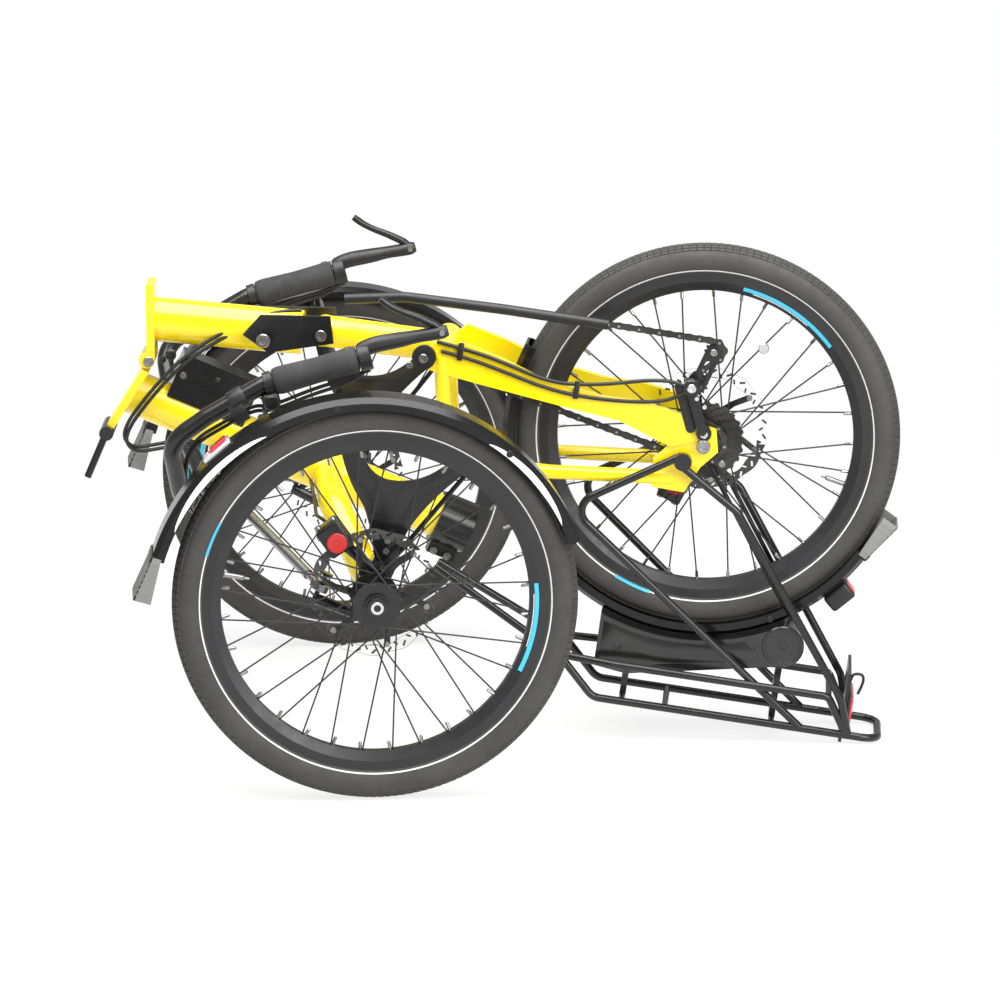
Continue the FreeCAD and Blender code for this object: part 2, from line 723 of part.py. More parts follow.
def knuckle(label, side):
    centre, axis, outward = kingpinFrame(side)
    ahead = outward.cross(axis) * side
    reach = n.HeadHalfLength + n.EndGap
    parts = [cylinder(label + "_pin", s.KingpinRadius, centre - axis * (reach + n.KnuckleArmRadius),
                      centre + axis * (reach + n.KnuckleArmRadius))]
    for end in (-1, 1):
        middle = centre + axis * end * (reach + n.KnuckleArmRadius * half)
        spot = middle + outward * (n.KnucklePlateReach + n.KnucklePlateThickness) * half
        name = label + ("_low" if end < 0 else "_high")
        parts.append(box(name, s.KnucklePlateReach + s.KnucklePlateThickness, s.KnuckleHalfWidth * 2,
                         s.KnuckleArmRadius,
                         placed(spot, outward, axis.cross(outward), axis)))
        parts.append(cylinder(name + "_eye", s.KnuckleHalfWidth, middle - axis * n.KnuckleArmRadius * half,
                              middle + axis * n.KnuckleArmRadius * half))
    parts.append(knucklePlate(label + "_plate", side, Placement()))
    wheel = Vector(0, side * n.HalfTrack, axleHeight)
    shoulder = wheel - leftward * side * (n.HubInner + n.RotorThickness + n.EndGap)
    root = centre + leftward * side * (n.KnucklePlateReach + n.KnucklePlateThickness * half)
    parts.append(cylinder(label + "_shoulder", s.AxleRadius + s.KnuckleArmRadius / 2, root, shoulder))
    parts.append(cylinder(label + "_axle", s.AxleRadius, root,
                          wheel + leftward * side * (n.HubFlangeOffset - n.AxleRadius)))
    low = centre - axis * armLevel
    parts += armWithStud(label, low, outerEnd(side))
    keep(fused(label, parts), label)


def tieRod(label, side):
    parts = []
    ends = []
    for index, end in enumerate((innerEnd(side), outerEnd(side))):
        middle = end.middle
        ends.append(middle)
        name = label + ("_outer" if index else "_inner")
        reach = steerAxis * n.TieEyeHalfHeight
        parts.append(cylinder(name, s.TieEyeRadius, middle - reach, middle + reach))
    parts.append(cylinder(label + "_rod", s.TieRodRadius * 0.7, ends[0], ends[1]))
    run = (ends[1] - ends[0]).normalize()
    sleeve = run * n.TieEyeRadius * 3
    parts.append(cylinder(label + "_sleeve", s.TieRodRadius, ends[0] + sleeve, ends[1] - sleeve))
    joined = fused(label + "_joined", parts)
    holes = []
    for index, middle in enumerate(ends):
        gap = s.TieEyeGap if index else s.RunningGap
        holes.append(cylinder(label + "_hole%d" % index, s.TieStudRadius + gap,
                              middle - steerAxis * n.TieDrop, middle + steerAxis * n.TieDrop))
    keep(cut(label, joined, fused(label + "_holes", holes)), label)


barShares = [(-0.031, 0.04, -0.003), (-0.167, 0.207, -0.078), (-0.31, 0.80, 0.15), (-0.353, 1.0, 0.407),
             (-0.203, 1.0, 0.51), (0.023, 1.0, 0.637), (0.457, 1.0, 0.75)]


def barPoints(side):
    # Bend points of one half of the handlebar, from the pivot to the grip's free end.
    return [barPivot + Vector(ahead, side * out, up) * n.BarHalfWidth for ahead, out, up in barShares]


def handlebar(label):
    parts = []
    for side in (RIGHT, LEFT):
        name = label + ("_right" if side == RIGHT else "_left")
        parts.append(solidOf(name, tubeShape(barPoints(side), n.BarRadius, n.BarBend)))
    hubRise = steerAxis * n.BarPivotHalfLength
    parts.append(cylinder(label + "_hub", s.BarPivotHub, barPivot - hubRise, barPivot + hubRise))
    for side in (RIGHT, LEFT):
        name = label + ("_rightStud" if side == RIGHT else "_leftStud")
        start = (barPivot - steerAhead * n.BarPivotHub * 0.7 + leftward * side * n.BarPivotRadius
                 + steerAxis * n.BarPivotHalfLength * 0.6)
        parts += armWithStud(name, start, innerEnd(side))
    bore = cylinder(label + "_bore", s.BarPivotRadius + s.RunningGap, barPivot - hubRise * 4,
                    barPivot + hubRise * 4)
    keep(cut(label, fused(label + "_joined", parts), bore), label)


def gripRun(side):
    points = barPoints(side)
    run = (points[6] - points[5]).normalize()
    return points[5] + run * n.GripRadius, points[6], run


def grips(label):
    pair = []
    for side in (RIGHT, LEFT):
        start, end, run = gripRun(side)
        sleeve = Part.makeCylinder(n.GripRadius, (end - start).Length - n.LeverBodyRadius * 3, start, run)
        core = Part.makeCylinder(n.BarRadius, (end - start).Length, start, run)
        pair.append(sleeve.cut(core))
    keep(solidOf(label, Part.makeCompound(pair)), label)


def brakeLevers(label):
    pair = []
    for side in (RIGHT, LEFT):
        start, end, run = gripRun(side)
        over = leftward.cross(run) * -1
        seat = end - run * n.LeverBodyRadius
        clamp = Part.makeCylinder(n.GripRadius, n.LeverBodyRadius * 2, end - run * n.LeverBodyRadius * 2, run)
        nose = seat + run * n.LeverBodyRadius * 5 + over * n.LeverBodyRadius
        pivot = nose + run * n.LeverBodyRadius * 5 - over * n.LeverBodyRadius * half
        body = tubeShape([seat + over * n.LeverBodyRadius, nose, pivot], n.LeverBodyRadius, n.LeverBodyRadius * 2)
        bend = pivot + over * n.LeverBodyRadius * 3 - run * n.LeverBodyRadius
        tip = bend - run * n.LeverBodyRadius * 8 + over * n.LeverBodyRadius * 2
        blade = tubeShape([pivot, bend, tip], n.LeverRadius, n.LeverBodyRadius)
        core = Part.makeCylinder(n.BarRadius, n.LeverBodyRadius * 4, end - run * n.LeverBodyRadius * 4, run)
        pair.append(clamp.fuse([body, blade]).cut(core).removeSplitter())
    keep(solidOf(label, Part.makeCompound(pair)), label)


def caliper(label, place, inboard, angle, foot, carrier):
    # A brake caliper in a wheel's frame, a fork over the rotor's edge with a bracket to its foot,
    # which is cut back flush with the solid that carries it.
    plane = inboard * (n.HubInner + n.RotorThickness * half)
    spot = turned(Vector(n.CaliperRadius + n.CaliperHalfHeight * half, plane, 0), leftward, -angle)
    frame = placed(spot, turned(forward, leftward, -angle), leftward, turned(upward, leftward, -angle))
    thick = (n.CaliperInner + n.CaliperWall) * 2
    block = box(label + "_block", s.CaliperHalfHeight * 2, s.CaliperInner * 2 + s.CaliperWall * 2,
                s.CaliperHalfWidth * 2, frame)
    gap = box(label + "_gap", s.CaliperHalfHeight * 2, s.CaliperInner * 2, s.CaliperHalfWidth * 4,
              frame * Placement(Vector(-n.CaliperWall, 0, 0), Rotation()))
    opened = cut(label + "_open", block, gap)
    knob = cylinder(label + "_knob", s.CaliperHalfWidth * 0.8,
                    frame.multVec(Vector(0, inboard * thick * half, 0)),
                    frame.multVec(Vector(0, inboard * (thick * half + n.CaliperWall * half), 0)))
    root = frame.multVec(Vector(0, inboard * (n.CaliperInner + n.CaliperWall * half), 0))
    bracket = cylinder(label + "_bracket", s.KnuckleArmRadius, root, foot)
    keep(cut(label, fused(label + "_joined", [opened, knob, bracket]), carrier), label, place)


def guardSection(radius, halfWidth):
    lip = radius - s.GuardLip
    skin = s.GuardThickness
    return [(lip, -halfWidth), (radius - skin * 2, -halfWidth), (radius, -halfWidth + skin * 3),
            (radius, halfWidth - skin * 3), (radius - skin * 2, halfWidth), (lip, halfWidth),
            (lip, halfWidth - skin), (radius - skin * 2, halfWidth - skin),
            (radius - skin, halfWidth - skin * 3), (radius - skin, -halfWidth + skin * 3),
            (radius - skin * 2, -halfWidth + skin), (lip, -halfWidth + skin)]


def mudguard(label, place, radius, halfWidth, start, sweep):
    # A shell round the wheel from one angle over the top, with a flared flap at its end.
    # Angles turn from forward to up in the frame that the placement gives.
    arch = turnedBody(label + "_arch", guardSection(radius, halfWidth), sweep)
    arch.Placement = Placement(Vector(), Rotation(leftward, -(float(start) + float(sweep))))
    flap = plateBody(label + "_flapOuter", [
        (s.GuardThickness, s.GuardLip / -2), (s.FlapReach, s.FlapFlare / -2),
        (s.FlapReach, s.FlapFlare / 2), (s.GuardThickness, s.GuardThickness)], halfWidth * 2)
    hollow = plateBody(label + "_flapInner", [
        (s.FlapReach * -1, s.GuardLip * -2), (s.FlapReach * 2, s.GuardLip * -3),
        (s.FlapReach * 2, s.FlapFlare * 0.75), (s.FlapReach * -1, -s.GuardLip * 0.4)],
        halfWidth * 2 - s.GuardThickness * 2)
    end = float(start) + float(sweep)
    spot = turned(Vector(float(radius) - n.GuardThickness, 0, 0), leftward, -end)
    frame = placed(spot, turned(upward, leftward, -end), leftward, turned(-forward, leftward, -end))
    frame = frame * Placement(Vector(-n.GuardThickness * 3, 0, 0), Rotation(upward, 0))
    opened = cut(label + "_flap", flap, hollow)
    opened.Placement = frame * Placement(Vector(), Rotation(forward, straight))
    return arch, opened


def frontGuard(label, side):
    centre = Vector(-n.GuardCentreBack, side * n.HalfTrack, axleHeight - n.GuardCentreDrop)
    arch, flap = mudguard(label, None, guardRadius, s.GuardHalfWidth, s.GuardStart, s.GuardSweep)
    parts = [arch, flap]
    inner = float(guardRadius) - n.GuardLip * half
    king, axis, outward = kingpinFrame(side)
    plateSpot = king + outward * (n.KnucklePlateReach + n.KnucklePlateThickness * half)
    for index, angle in enumerate((n.GuardStart * 2.6, n.GuardStart * 4.8)):
        edge = turned(Vector(inner, -side * (n.GuardHalfWidth - n.GuardThickness * half), 0), leftward, -angle)
        knee = turned(Vector(inner - n.GuardLip * 3, -side * n.KingpinInset * 0.62, 0), leftward, -angle)
        end = 1 if index == 0 else -1
        foot = plateSpot + axis * (n.HeadHalfLength - n.EndGap) + steerAhead * end * (
            n.KnuckleHalfWidth - n.StayRadius) * half - centre
        stay = tubeShape([edge, knee, foot], n.StayRadius, n.GuardLip)
        parts.append(solidOf(label + "_stay%d" % index, stay))
    place = Placement(centre, Rotation())
    joined = fused(label + "_joined", parts)
    keep(cut(label, joined, knucklePlate(label + "_plate", side, place)), label, place)


# Rear section, in the frame of the rear axle as it rides

def rear(x, z, y=0.0):
    return Vector(x, y, z)


facePoint = (ridePlace.inverse() * facePlace).multVec(
    Vector(-n.FlangeGap - n.FlangeThickness, 0, -n.FlangeCentre))
swingReach = s.Wheelbase - s.FlangeReach
pivotAhead = swingReach * s.PivotShare
rearTubeEnd = rear(float(swingReach) * n.RearTubeEndShare, -n.RearTubeEndDrop)
swingPivot = rear(float(pivotAhead), -n.PivotDrop)
swingJoint = rear(float(pivotAhead) - n.TubeRadius * 2.5, -n.PivotDrop - n.TubeRadius * half)
plateOffset = n.TubeRadius + n.PivotPlate * half + n.FlangeGap


def rearTube(label):
    run = (rearTubeEnd - facePoint).normalize()
    back = facePoint - run * n.TubeRadius
    outer = cylinder(label + "_outer", s.TubeRadius, back, rearTubeEnd)
    side = n.FlangeLength * 2
    waste = box(label + "_waste", side, side, side,
                ridePlace.inverse() * facePlace * Placement(
                    Vector(side * half - n.FlangeThickness - n.FlangeGap, 0, -n.FlangeCentre), Rotation()))
    keep(cut(label, outer, waste), label, rearPlace)


def pivotBracket(label):
    parts = []
    for side in (RIGHT, LEFT):
        name = label + ("_right" if side == RIGHT else "_left")
        plate = plateBody(name, [
            (pivotAhead + s.TubeRadius, -s.PivotDrop),
            (pivotAhead + s.TubeRadius / 3, -s.PivotDrop - s.TubeRadius),
            (pivotAhead - s.TubeRadius * 2.8, -s.PivotDrop - s.TubeRadius * 1.4),
            (pivotAhead - s.TubeRadius * 3.1, -s.PivotDrop - s.TubeRadius / 5),
            (pivotAhead - s.TubeRadius / 4, -s.PivotDrop + s.TubeRadius * 0.65)], s.PivotPlate)
        plate.Placement = Placement(Vector(0, side * plateOffset, 0), Rotation())
        parts.append(plate)
        bolt = swingPivot + leftward * side * (plateOffset - n.PivotPlate)
        parts.append(cylinder(name + "_bolt", s.PinRadius * 2, bolt,
                              bolt + leftward * side * n.PivotPlate * 2.5))
    wide = leftward * plateOffset
    parts.append(cylinder(label + "_spindle", s.PinRadius, swingJoint - wide * 1.1,
                          swingJoint + wide * 1.1))
    joined = fused(label + "_joined", parts)
    tool = cylinder(label + "_tube", s.TubeRadius + s.FlangeGap, facePoint, rearTubeEnd)
    keep(cut(label, joined, tool), label, rearPlace)


forkSpot = rear(n.ArmFork, -n.ArmForkDrop)


def swingarm(label):
    parts = []
    collar = leftward * (plateOffset - n.PivotPlate)
    parts.append(cylinder(label + "_collar", s.ArmTubeRadius * 0.8, swingJoint - collar, swingJoint + collar))
    parts.append(cylinder(label + "_tube", s.ArmTubeRadius, swingJoint, forkSpot))
    yoke = leftward * (n.StayOffset + n.StayThickness * half)
    parts.append(cylinder(label + "_yoke", s.ArmTubeRadius * 0.9, forkSpot - yoke, forkSpot + yoke))
    reachShares = [(1.04, -0.70), (0.94, -1.34), (0.78, -1.14), (0.63, -0.86), (0.40, -0.68), (0.25, -0.68),
                   (0.08, -0.55), (0.02, -0.10), (0.12, 0.12), (0.32, -0.25), (0.54, -0.37), (0.84, -0.56)]
    for side in (RIGHT, LEFT):
        name = label + ("_right" if side == RIGHT else "_left")
        corners = [(s.ArmFork * ahead, s.ArmForkDrop * drop) for ahead, drop in reachShares]
        stay = plateBody(name + "_stay", corners, s.StayThickness)
        stay.Placement = Placement(Vector(0, side * n.StayOffset, 0), Rotation())
        parts.append(stay)
        radius = n.DropoutThickness
        corners = [(s.ArmFork * 0.12, -s.ArmForkDrop * 0.5), (-s.ArmForkDrop * 0.2, -s.ArmForkDrop * 0.35),
                   (-s.ArmForkDrop * 0.3, s.ArmForkDrop * 0.1), (0 * s.ArmForkDrop, s.ArmForkDrop * 0.45),
                   (s.ArmForkDrop * 0.25, s.ArmForkDrop), (s.ArmForkDrop * 0.9, s.ArmForkDrop * 0.98),
                   (s.ArmForkDrop * 0.95, s.ArmForkDrop * 0.4), (s.ArmForkDrop * 0.6, 0 * s.ArmForkDrop)]
        drop = plateBody(name + "_dropout", corners, s.DropoutThickness)
        drop.Placement = Placement(Vector(0, side * n.StayOffset, 0), Rotation())
        parts.append(drop)
        edge = side * n.StayOffset
        brace = tubeShape([rear(n.ArmForkDrop * half, n.ArmForkDrop * 0.75, edge),
                           rear(n.ArmFork * 0.55, n.ArmForkDrop, edge),
                           rear(n.ArmFork * 0.93, n.ArmForkDrop * 1.05, edge),
                           rear(n.ArmFork, -n.ArmForkDrop, edge)], n.SeatStayRadius, radius * 4)
        parts.append(solidOf(name + "_brace", brace))
    axleEnd = leftward * (n.StayOffset + n.DropoutThickness * half + n.AxleRadius)
    parts.append(cylinder(label + "_axle", s.AxleRadius, -axleEnd, axleEnd))
    joined = fused(label + "_joined", parts)
    tool = cylinder(label + "_spindle", s.PinRadius, swingJoint - collar * 2, swingJoint + collar * 2)
    tube = cylinder(label + "_room", s.TubeRadius + s.FlangeGap, facePoint,
                    rearTubeEnd + (rearTubeEnd - facePoint).normalize() * n.FlangeGap)
    keep(cut(label, joined, fused(label + "_waste", [tool, tube])), label, rearPlace)


def idler(label):
    centre = rear(n.IdlerAhead, -n.IdlerDrop)
    start = leftward * -(n.StayOffset + n.SeatStayRadius + n.FlangeGap)
    seat = leftward * -(n.StayOffset + n.StayThickness * half + n.FlangeGap)
    wheel = cylinder(label + "_wheel", s.IdlerRadius, centre + start,
                     centre + start - leftward * n.DropoutThickness)
    bolt = cylinder(label + "_bolt", s.PinRadius, centre + seat,
                    centre + start - leftward * (n.DropoutThickness + n.PinRadius))
    keep(fused(label, [wheel, bolt]), label, rearPlace)


chainDrop = n.IdlerDrop * 2.15


def chainTube(label):
    side = -n.StayOffset * 0.86
    points = [rear(n.ArmFork * 0.41, -chainDrop, side), rear(n.ArmFork * 0.80, -chainDrop, side),
              rear(n.ArmFork * 1.16, -chainDrop * 0.98, side),
              rear(n.ArmFork * 1.38, -chainDrop * 0.86, side * 0.8)]
    keep(solidOf(label, tubeShape(points, n.ChainTubeRadius, n.ChainTubeRadius * 8)), label, rearPlace)


def derailleur(label):
    side = -(n.StayOffset + n.StayThickness * half)
    chainLine = -n.ChainOffset
    cage = []
    upper = rear(n.CassetteSmallRadius * 0.8, -n.CassetteLargeRadius * 1.45, chainLine)
    lower = rear(n.CassetteSmallRadius * 0.2, -chainDrop + n.IdlerRadius, chainLine)
    thin = n.CaliperInner * half
    for offset in (-1, 1):
        slide = leftward * offset * (n.ChainHalfWidth + thin)
        rod = (lower - upper)
        plate = box(label + "_cage%d" % (offset + 1), rod.Length + n.IdlerRadius, thin, s.IdlerRadius,
                    placed((upper + lower) * half + slide, rod.normalize(), leftward,
                           rod.cross(leftward)))
        cage.append(plate)
    wheels = []
    for index, spot in enumerate((upper, lower)):
        wide = leftward * (n.ChainHalfWidth + n.FlangeGap)
        wheels.append(cylinder(label + "_wheel%d" % index, s.IdlerRadius, spot - wide, spot + wide))
        reach = leftward * (n.ChainHalfWidth + thin * 2)
        wheels.append(cylinder(label + "_axle%d" % index, s.ChainRadius, spot - reach, spot + reach))
    hanger = rear(n.ArmForkDrop * 0.03, -n.CassetteLargeRadius * 0.32, side)
    knuckleSpot = rear(n.CassetteLargeRadius * 0.5, -n.CassetteLargeRadius * 1.45, side)
    body = solidOf(label + "_body", tubeShape([
        hanger + leftward * n.StayThickness * 0.19, hanger - leftward * n.DropoutThickness,
        knuckleSpot - leftward * n.DropoutThickness,
        upper - leftward * n.DropoutThickness], n.DropoutThickness * 0.8, n.DropoutThickness))
    keep(fused(label, cage + wheels + [body]), label, rearPlace)


def chainRun(start, end):
    run = end - start
    across = leftward
    over = run.cross(across).normalize()
    bar = Part.makeBox(run.Length, n.ChainHalfWidth * 2, n.ChainRadius * 2)
    bar.translate(Vector(0, -n.ChainHalfWidth, -n.ChainRadius))
    bar.Placement = placed(start, run.normalize(), over.cross(run).normalize(), over) * bar.Placement
    return bar


def chain(label):
    middle = -n.ChainOffset
    foot = rear(n.CassetteSmallRadius * 0.2, -chainDrop - n.ChainRadius - n.FlangeGap, middle)
    tubeMouth = rear(n.ArmFork * 0.41 - n.FlangeGap, -chainDrop, -n.StayOffset * 0.86)
    top = rear(0, n.CassetteSmallRadius * 1.27 + n.ChainRadius, middle)
    idlerSpot = rear(n.ArmFork - n.ArmTubeRadius * 0.9, -n.ArmForkDrop * 0.72, middle * 0.9)
    runs = [chainRun(foot, tubeMouth), chainRun(top, idlerSpot)]
    keep(solidOf(label, Part.makeCompound(runs)), label, rearPlace)


floorDrop = rearPlace.inverse().Rotation.multVec(Vector(0, 0, -1))
rearCentre = rearPlace.multVec(Vector())


railHeight = deckRise - s.RackRailDrop


def rack(label):
    rod = n.RackRodRadius
    shapes = []
    legSide = n.StayOffset + n.SeatStayRadius + n.FlangeGap + rod
    deckSide = n.RackHalfWidth
    railSide = n.RackRailHalfWidth
    low = float(railHeight)
    front = n.RackFront
    tail = -n.RackTail
    hoop = [rear(front + rod * 10, low, deckSide), rear(front, deck, deckSide), rear(tail, deck, deckSide),
            rear(tail, deck, -deckSide), rear(front, deck, -deckSide), rear(front + rod * 10, low, -deckSide)]
    shapes.append(tubeShape(hoop, rod, n.RackBend))
    for side in (RIGHT, LEFT):
        shapes.append(tubeShape([rear(front + rod * 44, low - rod * 16, side * deckSide * 0.3),
                                 rear(front + rod * 19, low - rod * 4, side * deckSide * 0.8),
                                 rear(front + rod * 10, low, side * deckSide),
                                 rear(front - rod * 4, low, side * railSide),
                                 rear(tail + rod * 14, low, side * railSide),
                                 rear(tail + rod * 8, deck, side * deckSide)], rod, rod * 2))
        shapes.append(tubeShape([rear(rod * 5, rod * 3, side * legSide), rear(rod * 31, rod * 20, side * legSide),
                                 rear(tail * 0.64, deck, side * deckSide)], rod, n.RackBend))
        shapes.append(tubeShape([rear(rod * 4, rod * 6, side * legSide), rear(tail * 0.2, deck * 0.22,
                                                                              side * legSide),
                                 rear(tail * 0.80, low, side * railSide),
                                 rear(tail * 0.86, deck, side * deckSide)], rod, n.RackBend))
        boss = rear(rod * 4.5, rod * 4.5, side * (legSide - rod))
        shapes.append(Part.makeCylinder(rod * 2.2, rod * 2, boss, leftward * side))
    for share in (0.6, 0.0, -0.5):
        place = front * share if share > 0 else n.RackTail * share
        shapes.append(tubeShape([rear(place, deck, -deckSide), rear(place, deck, deckSide)], rod * 0.8, rod))
    shapes.append(tubeShape([rear(tail + rod * 14, low, -railSide), rear(tail + rod * 14, low, railSide)],
                            rod * 0.8, rod))
    shapes.append(Part.makeBox(rod * 1.6, deckSide * 0.8, deck - low - rod * 3.0 - n.FlangeGap,
                               Vector(front * 0.6 - rod * 0.8, -deckSide * 0.4, low + rod * 3.0 + n.FlangeGap)))
    shapes.append(Part.makeBox(rod * 1.6, deckSide * 0.8, deck - low + n.BatteryEndRadius * 0.86 - n.EndGap,
                               Vector(tail * half - rod * 0.8, -deckSide * 0.4,
                                      low - n.BatteryEndRadius * 0.86 + n.EndGap)))
    plate = Part.makeBox(rod * 0.8, deckSide * 2, deck - low + rod * 8,
                         Vector(tail + rod * 9, -deckSide, low - rod * 6))
    shapes.append(plate)
    keep(solidOf(label, shapes[0].multiFuse(shapes[1:]).removeSplitter()), label, rearPlace)


def battery(label):
    high = deck - n.RackRodRadius - n.FlangeGap
    radius = n.BatteryEndRadius
    tailSpot = rear(-n.RackTail * half, high - radius * 3.0)
    body = plateBody(label + "_body", [
        (s.RackFront * 1.05, railHeight + s.RackRodRadius * 2.0),
        (s.RackFront * 0.6, railHeight + s.RackRodRadius * 3.0),
        (-s.RackTail / 2, railHeight - s.BatteryEndRadius * 0.86),
        (-s.RackTail / 2, rearGuardRadius - s.BatteryEndRadius * 1.3),
        (0 * s.RackTail, rearGuardRadius * 0.9),
        (s.RackFront * 1.05, rearGuardRadius * 0.9)], s.BatteryHalfWidth * 2)
    tailSpot = rear(-n.RackTail * half, float(railHeight) - n.BatteryEndRadius * 1.86)
    end = cylinder(label + "_end", s.BatteryEndRadius, tailSpot - leftward * n.BatteryHalfWidth,
                   tailSpot + leftward * n.BatteryHalfWidth)
    room = leftward * n.BatteryHalfWidth * 2
    guard = cylinder(label + "_room", rearGuardRadius + s.GuardThickness, -room, room)
    keep(cut(label, fused(label + "_joined", [body, end]), guard), label, rearPlace)


def rearGuard(label):
    arch, flap = mudguard(label, None, rearGuardRadius, s.RearGuardHalfWidth, s.RearGuardStart,
                          s.RearGuardSweep)
    bracket = []
    for side in (RIGHT, LEFT):
        edge = turned(Vector(float(rearGuardRadius) - n.GuardLip * half, side * (
            n.RearGuardHalfWidth - n.GuardThickness * half), 0), leftward, -n.RearGuardSweep * 0.72)
        foot = rear(-n.ArmForkDrop * 0.1, n.ArmForkDrop * 0.3, side * (
            n.StayOffset - n.DropoutThickness * half - n.StayRadius))
        knee = turned(Vector(float(rearGuardRadius) * 0.8, side * n.StayOffset * 0.9, 0), leftward,
                      -n.RearGuardSweep * 0.72)
        bracket.append(solidOf(label + "_stay%d" % side, tubeShape([edge, knee, foot], n.StayRadius,
                                                                   n.GuardLip)))
    keep(fused(label, [arch, flap] + bracket), label, rearPlace)


def rearLight(label):
    angle = 138.0
    centre = turned(Vector(float(rearGuardRadius) + n.FlangeGap + n.LightDepth * half, 0, 0), leftward, -angle)
    frame = placed(centre, turned(forward, leftward, -angle), leftward, turned(upward, leftward, -angle))
    keep(box(label, s.LightDepth, s.LightHalfWidth * 2, s.LightLength, frame), label, rearPlace)


def rearCables(label):
    radius = n.CableRadius
    side = -(n.StayOffset + n.StayThickness * half + radius)
    base = n.ArmFork
    drop = n.ArmForkDrop
    upper = tubeShape([rear(base * 1.02, -drop * 1.30, side), rear(base * 0.78, -drop * 1.10, side),
                       rear(base * 0.58, -drop * 0.80, side), rear(base * 0.40, -drop * 0.92, side),
                       rear(base * 0.22, -drop * 1.18, side), rear(base * 0.11, -drop * 1.20, side)],
                      radius, base * 0.18)
    lower = tubeShape([rear(base * 1.00, -drop * 1.12, side), rear(base * 0.78, -drop * 0.92, side),
                       rear(base * 0.58, -drop * 0.66, side), rear(base * 0.40, -drop * 0.62, side),
                       rear(base * 0.20, -drop * 0.72, side), rear(base * 0.12, -drop * 0.90, side)],
                      radius, base * 0.14)
    keep(solidOf(label, Part.makeCompound([upper, lower])), label, rearPlace)


# Assembly

mainTube("main_tube")
frontFlange("front_flange")
foldLatch("fold_latch")
crossMember("cross_member")
seatBracket("seat_bracket")
boomClamp("boom_clamp")
steeringPivot("steering_pivot")
handlebar("handlebar")
grips("grips")
brakeLevers("brake_levers")

for side, word in ((RIGHT, "right"), (LEFT, "left")):
    wheelPlace = Placement(Vector(0, side * n.HalfTrack, axleHeight),
                           Rotation(upward, 0 if side == LEFT else straight))
    knuckle("knuckle_" + word, side)
    tieRod("tie_rod_" + word, side)
    king, axis, outward = kingpinFrame(side)
    footSpot = (king + outward * (n.KnucklePlateReach + n.KnucklePlateThickness)
                + axis * n.HeadHalfLength * half - steerAhead * n.KnuckleHalfWidth * 0.6)
    angle = n.CaliperAngle if side == LEFT else straight - n.CaliperAngle
    caliper("caliper_" + word, wheelPlace, -1, angle, wheelPlace.inverse().multVec(footSpot),
            knucklePlate("caliper_%s_plate" % word, side, wheelPlace))
    frontGuard("mudguard_" + word, side)
    tyre("tyre_" + word, wheelPlace)
    rim("rim_" + word, wheelPlace)
    hub("hub_" + word, wheelPlace, False)
    rotor("rotor_" + word, wheelPlace)

rearWheel = rearPlace * Placement(Vector(), Rotation(upward, straight))
tyre("tyre_rear", rearPlace)
rim("rim_rear", rearPlace)
hub("hub_rear", rearWheel, True)
rotor("rotor_rear", rearWheel)
cassette("cassette", rearPlace)
rearFlange("rear_flange")
rearTube("rear_tube")
pivotBracket("pivot_bracket")
swingarm("swingarm")
idler("idler")
chainTube("chain_tube")
derailleur("derailleur")
chain("chain")
stayInner = n.StayOffset - n.SeatStayRadius - n.FlangeGap
dropoutTop = n.ArmForkDrop + n.FlangeGap
caliper("caliper_rear", rearPlace, 1, 70.0, rear(n.ArmForkDrop * 0.6, n.ArmForkDrop * 0.9, n.StayOffset),
        box("caliper_rear_stay", s.ArmFork, s.ArmFork, s.ArmFork,
            Placement(Vector(0, stayInner + n.ArmFork * half, dropoutTop - n.ArmFork * half), Rotation())))
rack("rack")
battery("battery")
rearGuard("mudguard_rear")
rearLight("rear_light")
rearCables("rear_cables")

doc.recompute()

# Checks and export

faults = []
for thing in doc.Objects:
    if "Invalid" in thing.State or "Error" in thing.State:
        faults.append("%s is in state %s" % (thing.Label, thing.State))
for thing in made:
    if thing.Shape.isNull() or not thing.Shape.isValid() or not thing.Shape.Solids:
        faults.append("%s has no valid solid" % thing.Label)
if faults:
    raise RuntimeError("; ".join(faults))

os.makedirs("parts", exist_ok=True)
for thing in made:
    thing.Shape.exportStep(os.path.join("parts", thing.Label + ".step"))
    bounds = thing.Shape.BoundBox
    print("%-18s solids %2d  x %7.1f %7.1f  y %7.1f %7.1f  z %7.1f %7.1f" % (
        thing.Label, len(thing.Shape.Solids), bounds.XMin, bounds.XMax, bounds.YMin, bounds.YMax,
        bounds.ZMin, bounds.ZMax))
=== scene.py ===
import bpy
import math
import json
from mathutils import Matrix, Vector


